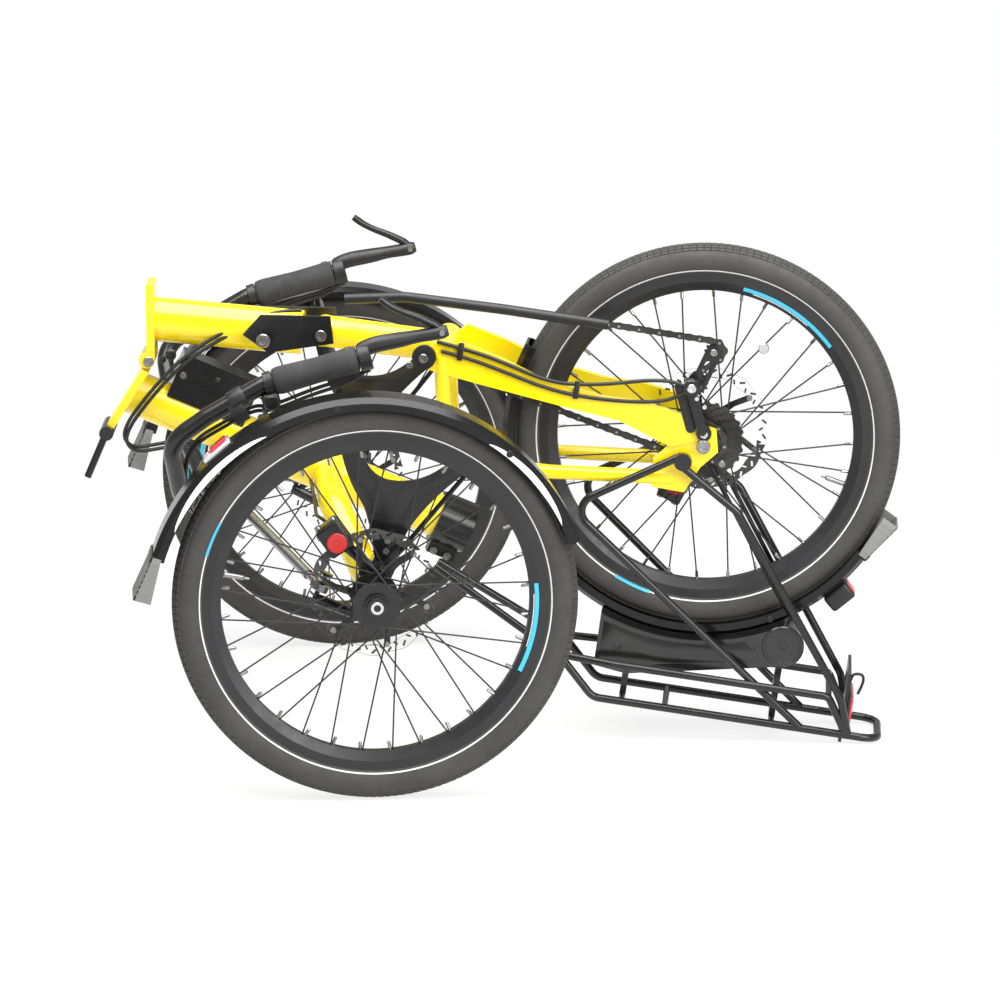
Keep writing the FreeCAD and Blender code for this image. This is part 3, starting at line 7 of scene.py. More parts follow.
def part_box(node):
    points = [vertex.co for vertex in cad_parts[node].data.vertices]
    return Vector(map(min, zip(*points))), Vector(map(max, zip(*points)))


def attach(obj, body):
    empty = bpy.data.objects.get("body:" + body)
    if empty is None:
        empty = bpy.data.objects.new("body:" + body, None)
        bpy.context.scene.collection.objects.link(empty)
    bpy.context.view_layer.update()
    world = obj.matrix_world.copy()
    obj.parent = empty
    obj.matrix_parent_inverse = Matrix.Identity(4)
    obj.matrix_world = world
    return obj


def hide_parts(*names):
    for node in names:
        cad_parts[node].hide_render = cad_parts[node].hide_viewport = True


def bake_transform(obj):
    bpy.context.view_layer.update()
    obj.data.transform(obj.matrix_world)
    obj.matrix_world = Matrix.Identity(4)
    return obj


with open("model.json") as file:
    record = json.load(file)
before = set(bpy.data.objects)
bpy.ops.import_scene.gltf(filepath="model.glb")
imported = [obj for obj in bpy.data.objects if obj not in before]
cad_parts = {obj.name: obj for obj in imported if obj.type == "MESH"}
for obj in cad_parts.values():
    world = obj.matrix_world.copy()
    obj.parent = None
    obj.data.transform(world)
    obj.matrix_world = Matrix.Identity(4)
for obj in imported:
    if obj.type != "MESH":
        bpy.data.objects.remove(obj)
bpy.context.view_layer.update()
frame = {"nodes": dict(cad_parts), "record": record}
print("frame loaded")

# Places shared by several pieces, in metres: X forward, Y to the trike's left, Z up

hubLow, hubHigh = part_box("tyre_left")

layout = {
    "axleBack": (hubLow.x + hubHigh.x) / 2,
    "halfTrack": 0.375,
    "axleHeight": 0.245,
    "foldedPitch": 40.2,
    "foldAngle": 147.7,
    "hingeYaw": 4.32,
    "hingeRoll": 1.29,
    "pin": (-0.265, 0.0, 0.476),
    "wheelbase": 1.062,
}

sides = {"right": -1, "left": 1}
guardBodies = {"right": "knuckle_right", "left": "knuckle_left", "rear": "rear_section"}


def turnAbout(axis, degrees):
    return Matrix.Rotation(math.radians(degrees), 4, Vector(axis))


def shiftBy(x, y, z):
    return Matrix.Translation((x, y, z))


# Frames of the rear section and of the three wheels

worldFrame = Matrix.Identity(4)
frontFrame = shiftBy(layout["axleBack"], 0, 0)
pinSpot = Matrix.Translation(layout["pin"])
hingeAxis = turnAbout((1, 0, 0), -layout["hingeRoll"]) @ turnAbout((0, 0, 1), -layout["hingeYaw"])
hingeAxis = (hingeAxis @ Vector((0, -1, 0))).normalized()
rideFrame = shiftBy(0, 0, layout["axleHeight"]) @ turnAbout((0, 1, 0), layout["foldedPitch"])
rideFrame = rideFrame @ shiftBy(-layout["wheelbase"], 0, 0)
rearFrame = frontFrame @ pinSpot @ turnAbout(hingeAxis, -layout["foldAngle"]) @ pinSpot.inverted() @ rideFrame

# Each wheel's own frame has its axle on Y, the brake at -Y and the outer side at +Y
wheelFrames = {
    "right": shiftBy(layout["axleBack"], -layout["halfTrack"], layout["axleHeight"]) @ turnAbout((0, 0, 1), 180),
    "left": shiftBy(layout["axleBack"], layout["halfTrack"], layout["axleHeight"]),
    "rear": rearFrame @ turnAbout((0, 0, 1), 180),
}
flipped = turnAbout((1, 0, 0), 180)


# Shader writing

class Wire:
    # A socket in a material. Other sockets or numbers join it through Math nodes.
    def __init__(self, sheet, socket):
        self.sheet = sheet
        self.socket = socket

    def math(self, kind, other):
        return self.sheet.node("ShaderNodeMath", {"operation": kind}, [self, other])

    def __mul__(self, other):
        return self.math("MULTIPLY", other)

    __rmul__ = __mul__


class Finish:
    # One material and the nodes that make it.
    def __init__(self, name):
        self.material = bpy.data.materials.new(name)
        self.material.use_nodes = True
        self.tree = self.material.node_tree
        self.shader = self.tree.nodes["Principled BSDF"]

    def node(self, kind, settings, inputs, output=0):
        made = self.tree.nodes.new(kind)
        for key, value in settings.items():
            setattr(made, key, value)
        pairs = inputs.items() if isinstance(inputs, dict) else enumerate(inputs)
        for key, value in pairs:
            if isinstance(value, Wire):
                self.tree.links.new(value.socket, made.inputs[key])
            else:
                made.inputs[key].default_value = value
        return Wire(self, made.outputs[output])

    def place(self):
        return self.node("ShaderNodeTexCoord", {}, [], "Object")

    def noise(self, scale, detail, roughness=0.5):
        return self.node("ShaderNodeTexNoise", {}, {"Vector": self.place(), "Scale": scale,
                                                    "Detail": detail, "Roughness": roughness}, "Fac")

    def between(self, wire, low, high, first=0.0, last=1.0):
        return self.node("ShaderNodeMapRange", {}, {0: wire, 1: low, 2: high, 3: first, 4: last})

    def blend(self, amount, first, second):
        return self.node("ShaderNodeMix", {"data_type": "RGBA"},
                         {0: amount, 6: (*first, 1.0), 7: (*second, 1.0)}, 2)

    def bump(self, height, strength, distance):
        return self.node("ShaderNodeBump", {}, {"Strength": strength, "Distance": distance, "Height": height})

    def give(self, **values):
        for key, value in values.items():
            socket = self.shader.inputs[key.replace("_", " ")]
            if isinstance(value, Wire):
                self.tree.links.new(value.socket, socket)
            else:
                socket.default_value = (*value, 1.0) if isinstance(value, tuple) else value
        return self.material


def paintFinish(name, colour, shade, rough, coat=0.0, shine=0.5):
    # Sprayed paint: a faint orange peel, fine rough patches and a slightly deeper tone in places.
    finish = Finish(name)
    cloud = finish.noise(9.0, 4.0)
    peel = finish.noise(420.0, 2.0)
    tone = finish.blend(finish.between(cloud, 0.35, 0.7), colour, shade)
    worn = finish.between(finish.noise(60.0, 5.0, 0.65), 0.3, 0.75, rough * 0.8, rough * 1.3)
    return finish.give(Base_Color=tone, Roughness=worn, Coat_Weight=coat, Coat_Roughness=0.12,
                       Specular_IOR_Level=shine, Normal=finish.bump(peel, 0.10, 0.0004))


def mouldedFinish(name, colour, shade, rough, grain, depth=0.25):
    # Moulded plastic or rubber: a fine grain in the skin with soft wear.
    finish = Finish(name)
    cloud = finish.noise(14.0, 4.0)
    skin = finish.noise(grain, 4.0, 0.6)
    tone = finish.blend(finish.between(cloud, 0.3, 0.75), colour, shade)
    worn = finish.between(finish.noise(90.0, 4.0), 0.3, 0.75, rough * 0.85, min(rough * 1.2, 1.0))
    return finish.give(Base_Color=tone, Roughness=worn, Normal=finish.bump(skin, depth, 0.0005))


def metalFinish(name, colour, shade, rough):
    # Bare machined metal with fine scratches.
    finish = Finish(name)
    cloud = finish.noise(25.0, 4.0)
    lines = finish.noise(900.0, 2.0)
    tone = finish.blend(finish.between(cloud, 0.3, 0.7), colour, shade)
    worn = finish.between(lines, 0.3, 0.7, rough * 0.75, rough * 1.35)
    return finish.give(Base_Color=tone, Roughness=worn, Metallic=1.0, Normal=finish.bump(lines, 0.06, 0.0002))


# Each finish: its two tones, how rough it is, and for paint the coat and shine, for plastic the grain and depth
finishSetup = {
    "frame_yellow": (paintFinish, (0.93, 0.72, 0.0), (0.88, 0.65, 0.0), 0.26, 0.6),
    "black_metal": (paintFinish, (0.008, 0.008, 0.008), (0.014, 0.014, 0.014), 0.26, 0.20, 0.42),
    "steel": (metalFinish, (0.40, 0.40, 0.40), (0.30, 0.30, 0.30), 0.30),
    "dark_steel": (metalFinish, (0.10, 0.097, 0.092), (0.06, 0.058, 0.055), 0.36),
    "disc_steel": (metalFinish, (0.13, 0.13, 0.125), (0.09, 0.09, 0.086), 0.36),
    "rim_black": (paintFinish, (0.012, 0.012, 0.013), (0.018, 0.018, 0.020), 0.38),
    "tyre": (mouldedFinish, (0.036, 0.035, 0.033), (0.052, 0.050, 0.047), 0.72, 700.0),
    "grip_foam": (mouldedFinish, (0.030, 0.030, 0.031), (0.042, 0.042, 0.043), 0.86, 1500.0, 0.5),
    "black_plastic": (mouldedFinish, (0.010, 0.010, 0.010), (0.017, 0.017, 0.017), 0.40, 900.0),
    "guard_black": (paintFinish, (0.006, 0.006, 0.006), (0.009, 0.009, 0.009), 0.16, 0.0, 0.32),
    "cable_black": (mouldedFinish, (0.012, 0.012, 0.012), (0.018, 0.018, 0.018), 0.42, 1200.0),
    "white_strip": (paintFinish, (0.72, 0.72, 0.70), (0.66, 0.66, 0.65), 0.4),
    # Used only for the painted highlights on the front guards: white that stands for reflected light
    "white_gloss": (paintFinish, (0.86, 0.86, 0.86), (0.82, 0.82, 0.82), 0.25, 0.5),
    "cyan_strip": (paintFinish, (0.05, 0.45, 0.68), (0.06, 0.50, 0.72), 0.32),
    "red_knob": (mouldedFinish, (0.56, 0.02, 0.018), (0.46, 0.015, 0.012), 0.34, 600.0),
    "red_lens": (paintFinish, (0.70, 0.03, 0.05), (0.60, 0.02, 0.03), 0.12, 0.9),
    "clear_lens": (paintFinish, (0.62, 0.63, 0.64), (0.52, 0.53, 0.54), 0.10, 0.9),
    "flap_grey": (mouldedFinish, (0.165, 0.165, 0.158), (0.210, 0.210, 0.203), 0.60, 1100.0),
    "battery_gloss": (paintFinish, (0.010, 0.010, 0.010), (0.016, 0.016, 0.015), 0.18, 0.3),
    "bright_metal": (metalFinish, (0.82, 0.82, 0.83), (0.72, 0.72, 0.73), 0.2),
}
finishes = {name: values[0](name, *values[1:]) for name, values in finishSetup.items()}
nodeFinishes = {"battery": "battery_gloss", "pivot_bracket": "black_metal"}

for part in frame["record"]["subparts"]:
    node = frame["nodes"][part["node"]]
    for place in node.material_slots:
        place.material = finishes[nodeFinishes.get(part["node"], part["material_slot"])]
print("finishes ready")


# Modelling helpers

def deselect():
    if bpy.context.mode != "OBJECT":
        bpy.ops.object.mode_set(mode="OBJECT")
    bpy.ops.object.select_all(action="DESELECT")


def named(name):
    piece = bpy.context.object
    piece.name = name
    piece.data.name = name
    return piece


def take(piece):
    deselect()
    piece.select_set(True)
    bpy.context.view_layer.objects.active = piece


def coated(piece, slotName):
    piece.data.materials.clear()
    piece.data.materials.append(finishes[slotName])
    return piece


def moved(piece, place):
    # Puts a piece into a frame and leaves its object at the origin, unturned and unscaled.
    bpy.context.view_layer.update()
    piece.data.transform(place @ piece.matrix_world)
    piece.matrix_world = Matrix.Identity(4)
    piece.data.update()
    return piece


def choose(piece, test, kind="FACE"):
    # Leaves edit mode open with the faces or points that pass the test selected.
    take(piece)
    bpy.ops.object.mode_set(mode="EDIT")
    bpy.ops.mesh.select_mode(type=kind)
    bpy.ops.mesh.select_all(action="DESELECT")
    bpy.ops.object.mode_set(mode="OBJECT")
    for item in piece.data.vertices if kind == "VERT" else piece.data.polygons:
        item.select = bool(test(item))
    bpy.ops.object.mode_set(mode="EDIT")


def smoothed(piece, angle):
    take(piece)
    bpy.ops.object.shade_smooth_by_angle(angle=math.radians(angle))
    deselect()
    return piece


def cleaned(piece):
    # Welds what doubles and turns the normals outward, from edit mode.
    bpy.ops.mesh.select_all(action="SELECT")
    bpy.ops.mesh.remove_doubles(threshold=0.000005)
    bpy.ops.mesh.normals_make_consistent(inside=False)
    return piece


def joined(name, pieces):
    take(pieces[0])
    for piece in pieces:
        piece.select_set(True)
    bpy.ops.object.join()
    result = named(name)
    deselect()
    return result


def copies(piece, places):
    # A copy with its own mesh at each place. The first one goes.
    made = []
    for place in places:
        twin = piece.copy()
        twin.data = piece.data.copy()
        bpy.context.collection.objects.link(twin)
        twin.data.transform(place)
        made.append(twin)
    bpy.data.objects.remove(piece)
    return made


def fitted(piece, body, slotName, *nodes):
    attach(piece, body)
    if nodes:
        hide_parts(*nodes)


def dressed(name, pieces, place, body, slotName, *nodes):
    # Joins pieces into one, puts it into its frame and rides it on its body.
    fitted(moved(joined(name, pieces), place), body, slotName, *nodes)


def spun(name, corners, steps, ring=False, sweep=360.0, start=0.0):
    # Corners of (radius, place along the axle) turned about Y. A ring's outline closes on itself.
    deselect()
    bpy.ops.mesh.primitive_plane_add(size=0.01)
    piece = named(name)
    bpy.ops.object.mode_set(mode="EDIT")
    bpy.ops.mesh.select_mode(type="VERT")
    bpy.ops.mesh.merge(type="CENTER")
    here = (0.0, 0.0)
    for index, corner in enumerate(corners):
        step = (corner[0] - here[0], corner[1] - here[1], 0.0)
        if index == 0:
            bpy.ops.transform.translate(value=step)
        else:
            bpy.ops.mesh.extrude_vertices_move(TRANSFORM_OT_translate={"value": step})
        here = corner
    if ring:
        choose(piece, lambda item: item.index in (0, len(corners) - 1), "VERT")
        bpy.ops.mesh.edge_face_add()
    bpy.ops.object.mode_set(mode="OBJECT")
    if start:
        piece.data.transform(turnAbout((0, 1, 0), -start))
    choose(piece, lambda item: True, "VERT")
    bpy.ops.mesh.spin(steps=steps, angle=math.radians(sweep), center=(0, 0, 0), axis=(0, 1, 0))
    return smoothed(cleaned(piece), 35)


def newCurve(name, dimensions):
    deselect()
    bpy.ops.curve.primitive_nurbs_path_add()
    line = named(name).data
    line.splines.clear()
    line.dimensions = dimensions
    return line


def addSpline(line, kind, spots):
    spline = line.splines.new(kind)
    spline.points.add(len(spots) - 1)
    for point, spot in zip(spline.points, spots):
        point.co = (*spot, 1.0)
    if kind == "NURBS":
        spline.order_u = 3
    return spline


def asMesh(name):
    bpy.ops.object.convert(target="MESH")
    return named(name)


def flatPlate(name, outlines, thickness, bevel=0.0, kind="POLY"):
    # A plate in XZ with its thickness shared about Y = 0. The first outline is its edge, the rest are holes.
    line = newCurve(name, "2D")
    line.fill_mode = "BOTH"
    line.extrude = thickness / 2 - bevel
    line.bevel_depth = bevel
    line.bevel_resolution = 1
    line.offset = -bevel
    line.resolution_u = 4
    for points in outlines:
        addSpline(line, kind, [(x, z, 0.0) for x, z in points]).use_cyclic_u = True
    piece = asMesh(name)
    piece.data.transform(turnAbout((1, 0, 0), 90))
    choose(piece, lambda item: True)
    return smoothed(cleaned(piece), 40)


def roundBar(name, spots, sides=4, steps=8, angle=60):
    # A smooth bar whose thickness changes along its points, each (point, radius).
    line = newCurve(name, "3D")
    line.bevel_depth = 1.0
    line.bevel_resolution = sides
    line.use_fill_caps = True
    line.resolution_u = steps
    spline = addSpline(line, "NURBS", [spot for spot, radius in spots])
    spline.use_endpoint_u = True
    for point, (spot, radius) in zip(spline.points, spots):
        point.radius = radius
    return smoothed(asMesh(name), angle)


def block(name, size):
    # A box with its middle at the origin, made for rounding.
    deselect()
    bpy.ops.mesh.primitive_cube_add(size=1.0)
    piece = named(name)
    bpy.ops.object.mode_set(mode="EDIT")
    bpy.ops.transform.resize(value=size)
    bpy.ops.object.mode_set(mode="OBJECT")
    return piece


def rounded(piece, width, segments):
    take(piece)
    bevel = piece.modifiers.new("edges", "BEVEL")
    bevel.width = width
    bevel.segments = segments
    bevel.limit_method = "ANGLE"
    bevel.angle_limit = math.radians(35)
    bpy.ops.object.modifier_apply(modifier=bevel.name)
    return smoothed(piece, 40)


def lathed(name, outline, steps, slotName, place=worldFrame, **more):
    return moved(coated(spun(name, outline, steps, **more), slotName), place)


def plated(name, outlines, thickness, slotName, place=worldFrame, **more):
    return moved(coated(flatPlate(name, outlines, thickness, **more), slotName), place)


def boxed(name, size, edge, slotName, place=worldFrame, segments=2):
    return moved(coated(rounded(block(name, size), edge, segments), slotName), place)


def barred(name, spots, slotName, **more):
    return coated(roundBar(name, spots, **more), slotName)


def wired(name, points, radius, slotName="cable_black", steps=8):
    # A round wire or hose on one smooth line through the space that the points give.
    return barred(name, [(point, radius) for point in points], slotName, sides=3, steps=steps, angle=50)


def bolted(name, radius, height, place, slotName="steel", sides=24):
    # A socket bolt's head with its foot at Y = 0, pointing along +Y, put into its place.
    outline = [(0, 0), (radius, 0), (radius, height * 0.75), (radius * 0.88, height),
               (radius * 0.52, height), (radius * 0.46, height * 0.55), (0, height * 0.5)]
    return lathed(name, outline, sides, slotName, place)


def drum(radius, low, high, inset, rise, inner=0.0):
    # The outline of a disc or ring with broken edges.
    return [(inner, low), (radius - inset, low), (radius, low + rise), (radius, high - rise),
            (radius - inset, high), (inner, high)]


def around(radius, degrees, along=0.0):
    # A point about the Y axis, its angle turning from forward to up.
    turn = math.radians(degrees)
    return Vector((radius * math.cos(turn), along, radius * math.sin(turn)))


def ringPoints(radius, count, wave=0.0, waves=0):
    spots = []
    for index in range(count):
        turn = 2 * math.pi * index / count
        reach = radius + wave * math.cos(waves * turn)
        spots.append((reach * math.cos(turn), reach * math.sin(turn)))
    return spots


def circleAt(spot, radius, count=16):
    return [(spot[0] + x, spot[1] + z) for x, z in ringPoints(radius, count)]


def capsule(first, last, radius, steps=10):
    # Outline of a rounded bar between two points in XZ.
    base = math.degrees(math.atan2(last[1] - first[1], last[0] - first[0]))
    spots = []
    for centre, start in ((last, base - 90), (first, base + 90)):
        for index in range(steps + 1):
            turn = math.radians(start + 180.0 * index / steps)
            spots.append((centre[0] + radius * math.cos(turn), centre[1] + radius * math.sin(turn)))
    return spots


def lookAlong(spot, direction):
    # A frame at a spot whose Y axis points along a direction.
    turn = Vector((0, 1, 0)).rotation_difference(Vector(direction).normalized()).to_matrix().to_4x4()
    return Matrix.Translation(spot) @ turn


def runFrame(spot, run, aside=Vector((0, 1, 0))):
    # Y along a run, X towards the trike's left as far as it goes, Z square to both.
    along = run.normalized()
    across = (aside - along * aside.dot(along)).normalized()
    turn = Matrix((across, along, across.cross(along))).transposed().to_4x4()
    return Matrix.Translation(spot) @ turn


def sidePoint(x, y, z):
    return Vector((x + layout["axleBack"], y, z))


# Tyres: a spun casing with a reflective stripe on each side wall and blocks pressed into the tread

tyreSetup = {
    "steps": 168,
    "radius": 0.2450,
    "half": 0.0200,
    "bead": (0.2086, 0.0118),
    "turns": (-126, -118, -108, -96, -84, -72, -62, -50, -37, -24, -11, 0),
    "wallEnd": -56,
    "wallDrop": 0.0006,
    "crownTurn": 54,
    "blockRise": 0.0012,
    "blockGap": 0.0007,
    "stripe": (0.2112, 0.2128),
    "stripeSink": 0.0004,
    "dash": (0.2104, 0.2136),
    "dashSink": -0.0002,
    "dashes": {"right": (17.0, 12.0), "left": (176.0, 8.0), "rear": (101.0, 13.0)},
    "bandDepth": 0.0012,
}


def tyreOutline(setup):
    middle = setup["radius"] - setup["half"]
    spots = []
    for degrees in setup["turns"]:
        turn = math.radians(degrees)
        reach = setup["half"] - setup["wallDrop" if degrees < setup["wallEnd"] else "blockRise"]
        spots.append((middle + reach * math.cos(turn), reach * math.sin(turn)))
    spots = spots + [(radius, -along) for radius, along in reversed(spots[:-1])]
    bead, beadSide = setup["bead"]
    return [(bead, -beadSide)] + spots + [(bead, beadSide)]


def wallBand(reaches, side, sink, slotName, steps, **more):
    # A thin band that follows the side wall's curve.
    setup = tyreSetup
    low, high = reaches
    middle = setup["radius"] - setup["half"]
    outline = []
    for reach in (low, (low + high) / 2, high):
        along = math.sqrt((setup["half"] - sink) ** 2 - (middle - reach) ** 2)
        outline.append((reach, side * along))
    back = [(reach, along - side * setup["bandDepth"]) for reach, along in reversed(outline)]
    return lathed("wall_band", outline + back, steps, slotName, ring=True, **more)


def makeTyre(word):
    setup = tyreSetup
    casing = coated(spun("tyre_casing_" + word, tyreOutline(setup), setup["steps"], ring=True), "tyre")
    crown = setup["radius"] - setup["half"] * (1 - math.cos(math.radians(setup["crownTurn"])))
    choose(casing, lambda face: math.hypot(face.center.x, face.center.z) > crown)
    bpy.ops.mesh.inset(thickness=setup["blockGap"], depth=setup["blockRise"], use_individual=True)
    bpy.ops.object.mode_set(mode="OBJECT")
    pieces = [casing]
    start, sweep = setup["dashes"][word]
    for side in (-1, 1):
        pieces.append(wallBand(setup["stripe"], side, setup["stripeSink"], "white_strip", setup["steps"]))
        pieces.append(wallBand(setup["dash"], side, setup["dashSink"], "cyan_strip", 12, sweep=sweep, start=start))
    piece = smoothed(joined("tyre_casing_" + word, pieces), 32)
    fitted(moved(piece, wheelFrames[word]), "wheel_" + word, "tyre", "tyre_" + word)


for word in wheelFrames:
    makeTyre(word)
print("tyres made")


# Rim fittings: nipples at the spoke heads, a valve, and curved colour strips

rimSetup = {
    "radius": 0.209,
    "depth": 0.023,
    "halfWidth": 0.012,
    "bed": 0.006,
    "holes": 16,
    "cross": 3.0,
    "hubRadius": 0.0255,
    "hubSide": 0.026,
    "hubLead": 0.00175,
    "headSide": 0.0013,
    "nippleBack": 0.0215,
    "nipple": [(0, 0), (0.0013, 0), (0.0021, 0.001), (0.0021, 0.0105), (0.0032, 0.0115), (0.0032, 0.0135),
               (0, 0.0135)],
    "valvePlace": (0.1545, -11.25),
    "valve": [(0, 0), (0.0012, 0), (0.0016, 0.002), (0.0016, 0.006), (0.0031, 0.0075), (0.0031, 0.030),
              (0.0045, 0.031), (0.0045, 0.034), (0, 0.034)],
}


def spokeLine(index, side):
    setup = rimSetup
    step = 360.0 / setup["holes"]
    lead = -1 if index % 2 else 1
    start = step * index + step * 0.25 * side
    foot = around(setup["hubRadius"], start, side * (setup["hubSide"] + lead * setup["hubLead"]))
    head = around(setup["radius"] - setup["depth"] / 2, start + lead * setup["cross"] * step,
                  side * lead * setup["headSide"])
    return foot, head


def makeRimFittings(word):
    setup = rimSetup
    places = []
    for index in range(setup["holes"]):
        for side in (-1, 1):
            foot, head = spokeLine(index, side)
            run = (head - foot).normalized()
            places.append(lookAlong(head - run * setup["nippleBack"], run))
    nipples = copies(lathed("nipple", setup["nipple"], 10, "steel"), places)
    reach, turn = setup["valvePlace"]
    valve = lathed("valve", setup["valve"], 20, "steel",
                   turnAbout((0, 1, 0), turn) @ lookAlong((reach, 0, 0), (1, 0, 0)))
    dressed("rim_fittings_" + word, nipples + [valve], wheelFrames[word], "wheel_" + word, "steel")


stripSetup = {
    "proud": 0.0008,
    "sink": 0.001,
    "steps": 30,
    "places": {"right": (174.0, 33.0), "left": (150.0, 33.0), "rear": (-84.0, 39.5)},
    "cyan": (0.1918, 0.1966),
    "white": (0.1902, 0.1912),
    "whiteLead": 4.0,
    "whiteShare": 0.6,
}


def stripBand(start, sweep, reaches, side, slotName):
    # A thin strip that follows the slope of the rim's side wall.
    setup = rimSetup
    wallIn = setup["radius"] - setup["depth"]
    wallOut = setup["radius"] - setup["depth"] / 2

    def corner(reach, lift):
        share = min(max((reach - wallIn) / (wallOut - wallIn), 0.0), 1.0)
        return reach, side * (setup["bed"] + (setup["halfWidth"] - setup["bed"]) * share + lift)

    outline = [corner(reach, stripSetup["proud"]) for reach in reaches]
    outline += [corner(reach, -stripSetup["sink"]) for reach in reversed(reaches)]
    return lathed("strip", outline, stripSetup["steps"], slotName, ring=True, sweep=sweep, start=start)


def makeStrips(word):
    setup = stripSetup
    start, sweep = setup["places"][word]
    pieces = []
    for side in (-1, 1):
        pieces.append(stripBand(start, sweep, setup["cyan"], side, "cyan_strip"))
        pieces.append(stripBand(start + setup["whiteLead"], sweep * setup["whiteShare"], setup["white"], side,
                                "white_strip"))
    dressed("rim_strips_" + word, pieces, wheelFrames[word], "wheel_" + word, "rim_black")


for word in wheelFrames:
    makeRimFittings(word)
    makeStrips(word)
print("rims dressed")


# Brake discs: a wavy slotted ring on a black six-armed carrier

rotorSetup = {
    "radius": 0.0795,
    "inner": 0.0655,
    "wave": 0.0012,
    "waves": 12,
    "steps": 144,
    "plane": -0.043,
    "thickness": 0.0019,
    "slots": 24,
    "arms": 6,
    "arm": [(0.0235, -13), (0.046, 4), (0.0675, 12.6), (0.0675, 19.4), (0.046, 14), (0.0235, 13)],
    "dip": 0.0228,
    "bore": 0.0145,
}


def slotHole(reach, degrees, length, width, lean):
    centre = around(reach, degrees)
    spots = []
    turn = math.radians(degrees + lean)
    for end in (1, -1):
        for corner in (-60, 0, 60):
            swing = turn + math.radians(corner + (0 if end > 0 else 180))
            spots.append((centre.x + end * math.cos(turn) * length / 2 + math.cos(swing) * width / 2,
                          centre.z + end * math.sin(turn) * length / 2 + math.sin(swing) * width / 2))
    return spots


def makeRotor(word):
    setup = rotorSetup
    wave, steps, waves = setup["wave"], setup["steps"], setup["waves"]
    outlines = [ringPoints(setup["radius"] - wave, steps, wave, waves),
                ringPoints(setup["inner"] + wave, steps, -wave, waves)]
    for index in range(setup["slots"]):
        degrees = 360.0 / setup["slots"] * index
        outlines.append(slotHole(0.0742, degrees, 0.0050, 0.0028, 48))
        outlines.append(slotHole(0.0695, degrees + 7.5, 0.0038, 0.0026, -35))
    ring = plated("rotor_ring", outlines, setup["thickness"], "disc_steel")
    turns = [360.0 / setup["arms"] * index for index in range(setup["arms"])]
    spider = []
    for turn in turns:
        spider += [tuple(around(reach, turn + offset).xz) for reach, offset in setup["arm"]]
        spider.append(tuple(around(setup["dip"], turn + 180.0 / setup["arms"]).xz))
    carrier = plated("rotor_carrier", [spider, ringPoints(setup["bore"], 32)], 0.0022, "black_metal", bevel=0.0003)
    rivets = copies(lathed("rivet", drum(0.0040, -0.0017, 0.0017, 0.0006, 0.0009), 12, "steel"),
                    [Matrix.Translation(around(0.0672, turn + 16.5)) for turn in turns])
    bolts = copies(bolted("carrier_bolt", 0.0032, 0.0018, worldFrame, "bright_metal", 12),
                   [Matrix.Translation(around(0.0205, turn + 30.0, -0.0010)) @ flipped for turn in turns])
    dressed("brake_disc_" + word, [ring, carrier] + rivets + bolts,
            wheelFrames[word] @ shiftBy(0, setup["plane"], 0), "wheel_" + word, "steel", "rotor_" + word)


for word in wheelFrames:
    makeRotor(word)
print("brake discs made")


# Handlebar fittings: foam grips, brake levers with their bodies, a shifter pod, a strap and clamps

barSetup = {
    "pivot": (-0.137, 0.0, 0.3060),
    "reach": 0.300,
    "shares": [(-0.031, 0.04, -0.003), (-0.167, 0.207, -0.078), (-0.31, 0.80, 0.15), (-0.353, 1.0, 0.407),
               (-0.203, 1.0, 0.51), (0.023, 1.0, 0.637), (0.457, 1.0, 0.75)],
    "bar": 0.0111,
    "core": 0.0112,
    "grip": 0.0170,
    "body": 0.010,
}


def barPoint(side, index):
    ahead, out, up = barSetup["shares"][index]
    return frontFrame @ (Vector(barSetup["pivot"]) + Vector((ahead, side * out, up)) * barSetup["reach"])


def barEnd(side):
    # The grip's two ends, its run and the direction square to it in the trike's plane.
    start, end = barPoint(side, 5), barPoint(side, 6)
    run = (end - start).normalized()
    return start, end, run, Vector((0, 1, 0)).cross(run).normalized() * -1


def makeGrip(word, side):
    start, end, run, over = barEnd(side)
    core, full = barSetup["core"], barSetup["grip"]
    foam = [(core, 0.0125), (full - 0.0040, 0.0127), (full - 0.0014, 0.0150), (full - 0.0002, 0.0200),
            (full, 0.0260), (full - 0.0007, 0.046), (full - 0.0014, 0.068), (full - 0.0007, 0.096),
            (full, 0.1120), (full - 0.0010, 0.1165), (full - 0.0040, 0.1184), (core, 0.1185)]
    collar = [(core, 0.0065), (0.0138, 0.0066), (0.0146, 0.0074), (0.0146, 0.0112), (0.0138, 0.0120), (core, 0.0121)]
    pieces = [lathed("grip_sleeve", foam, 64, "grip_foam"), lathed("grip_collar", collar, 48, "black_plastic")]
    for along in (0.0240, 0.0285):
        groove = [(full - 0.0021, along - 0.0011), (full - 0.0002, along), (full - 0.0021, along + 0.0011)]
        pieces.append(lathed("grip_groove", groove, 64, "black_plastic"))
    dressed("grip_" + word, pieces, runFrame(start, run), "handlebar", "grip_foam")


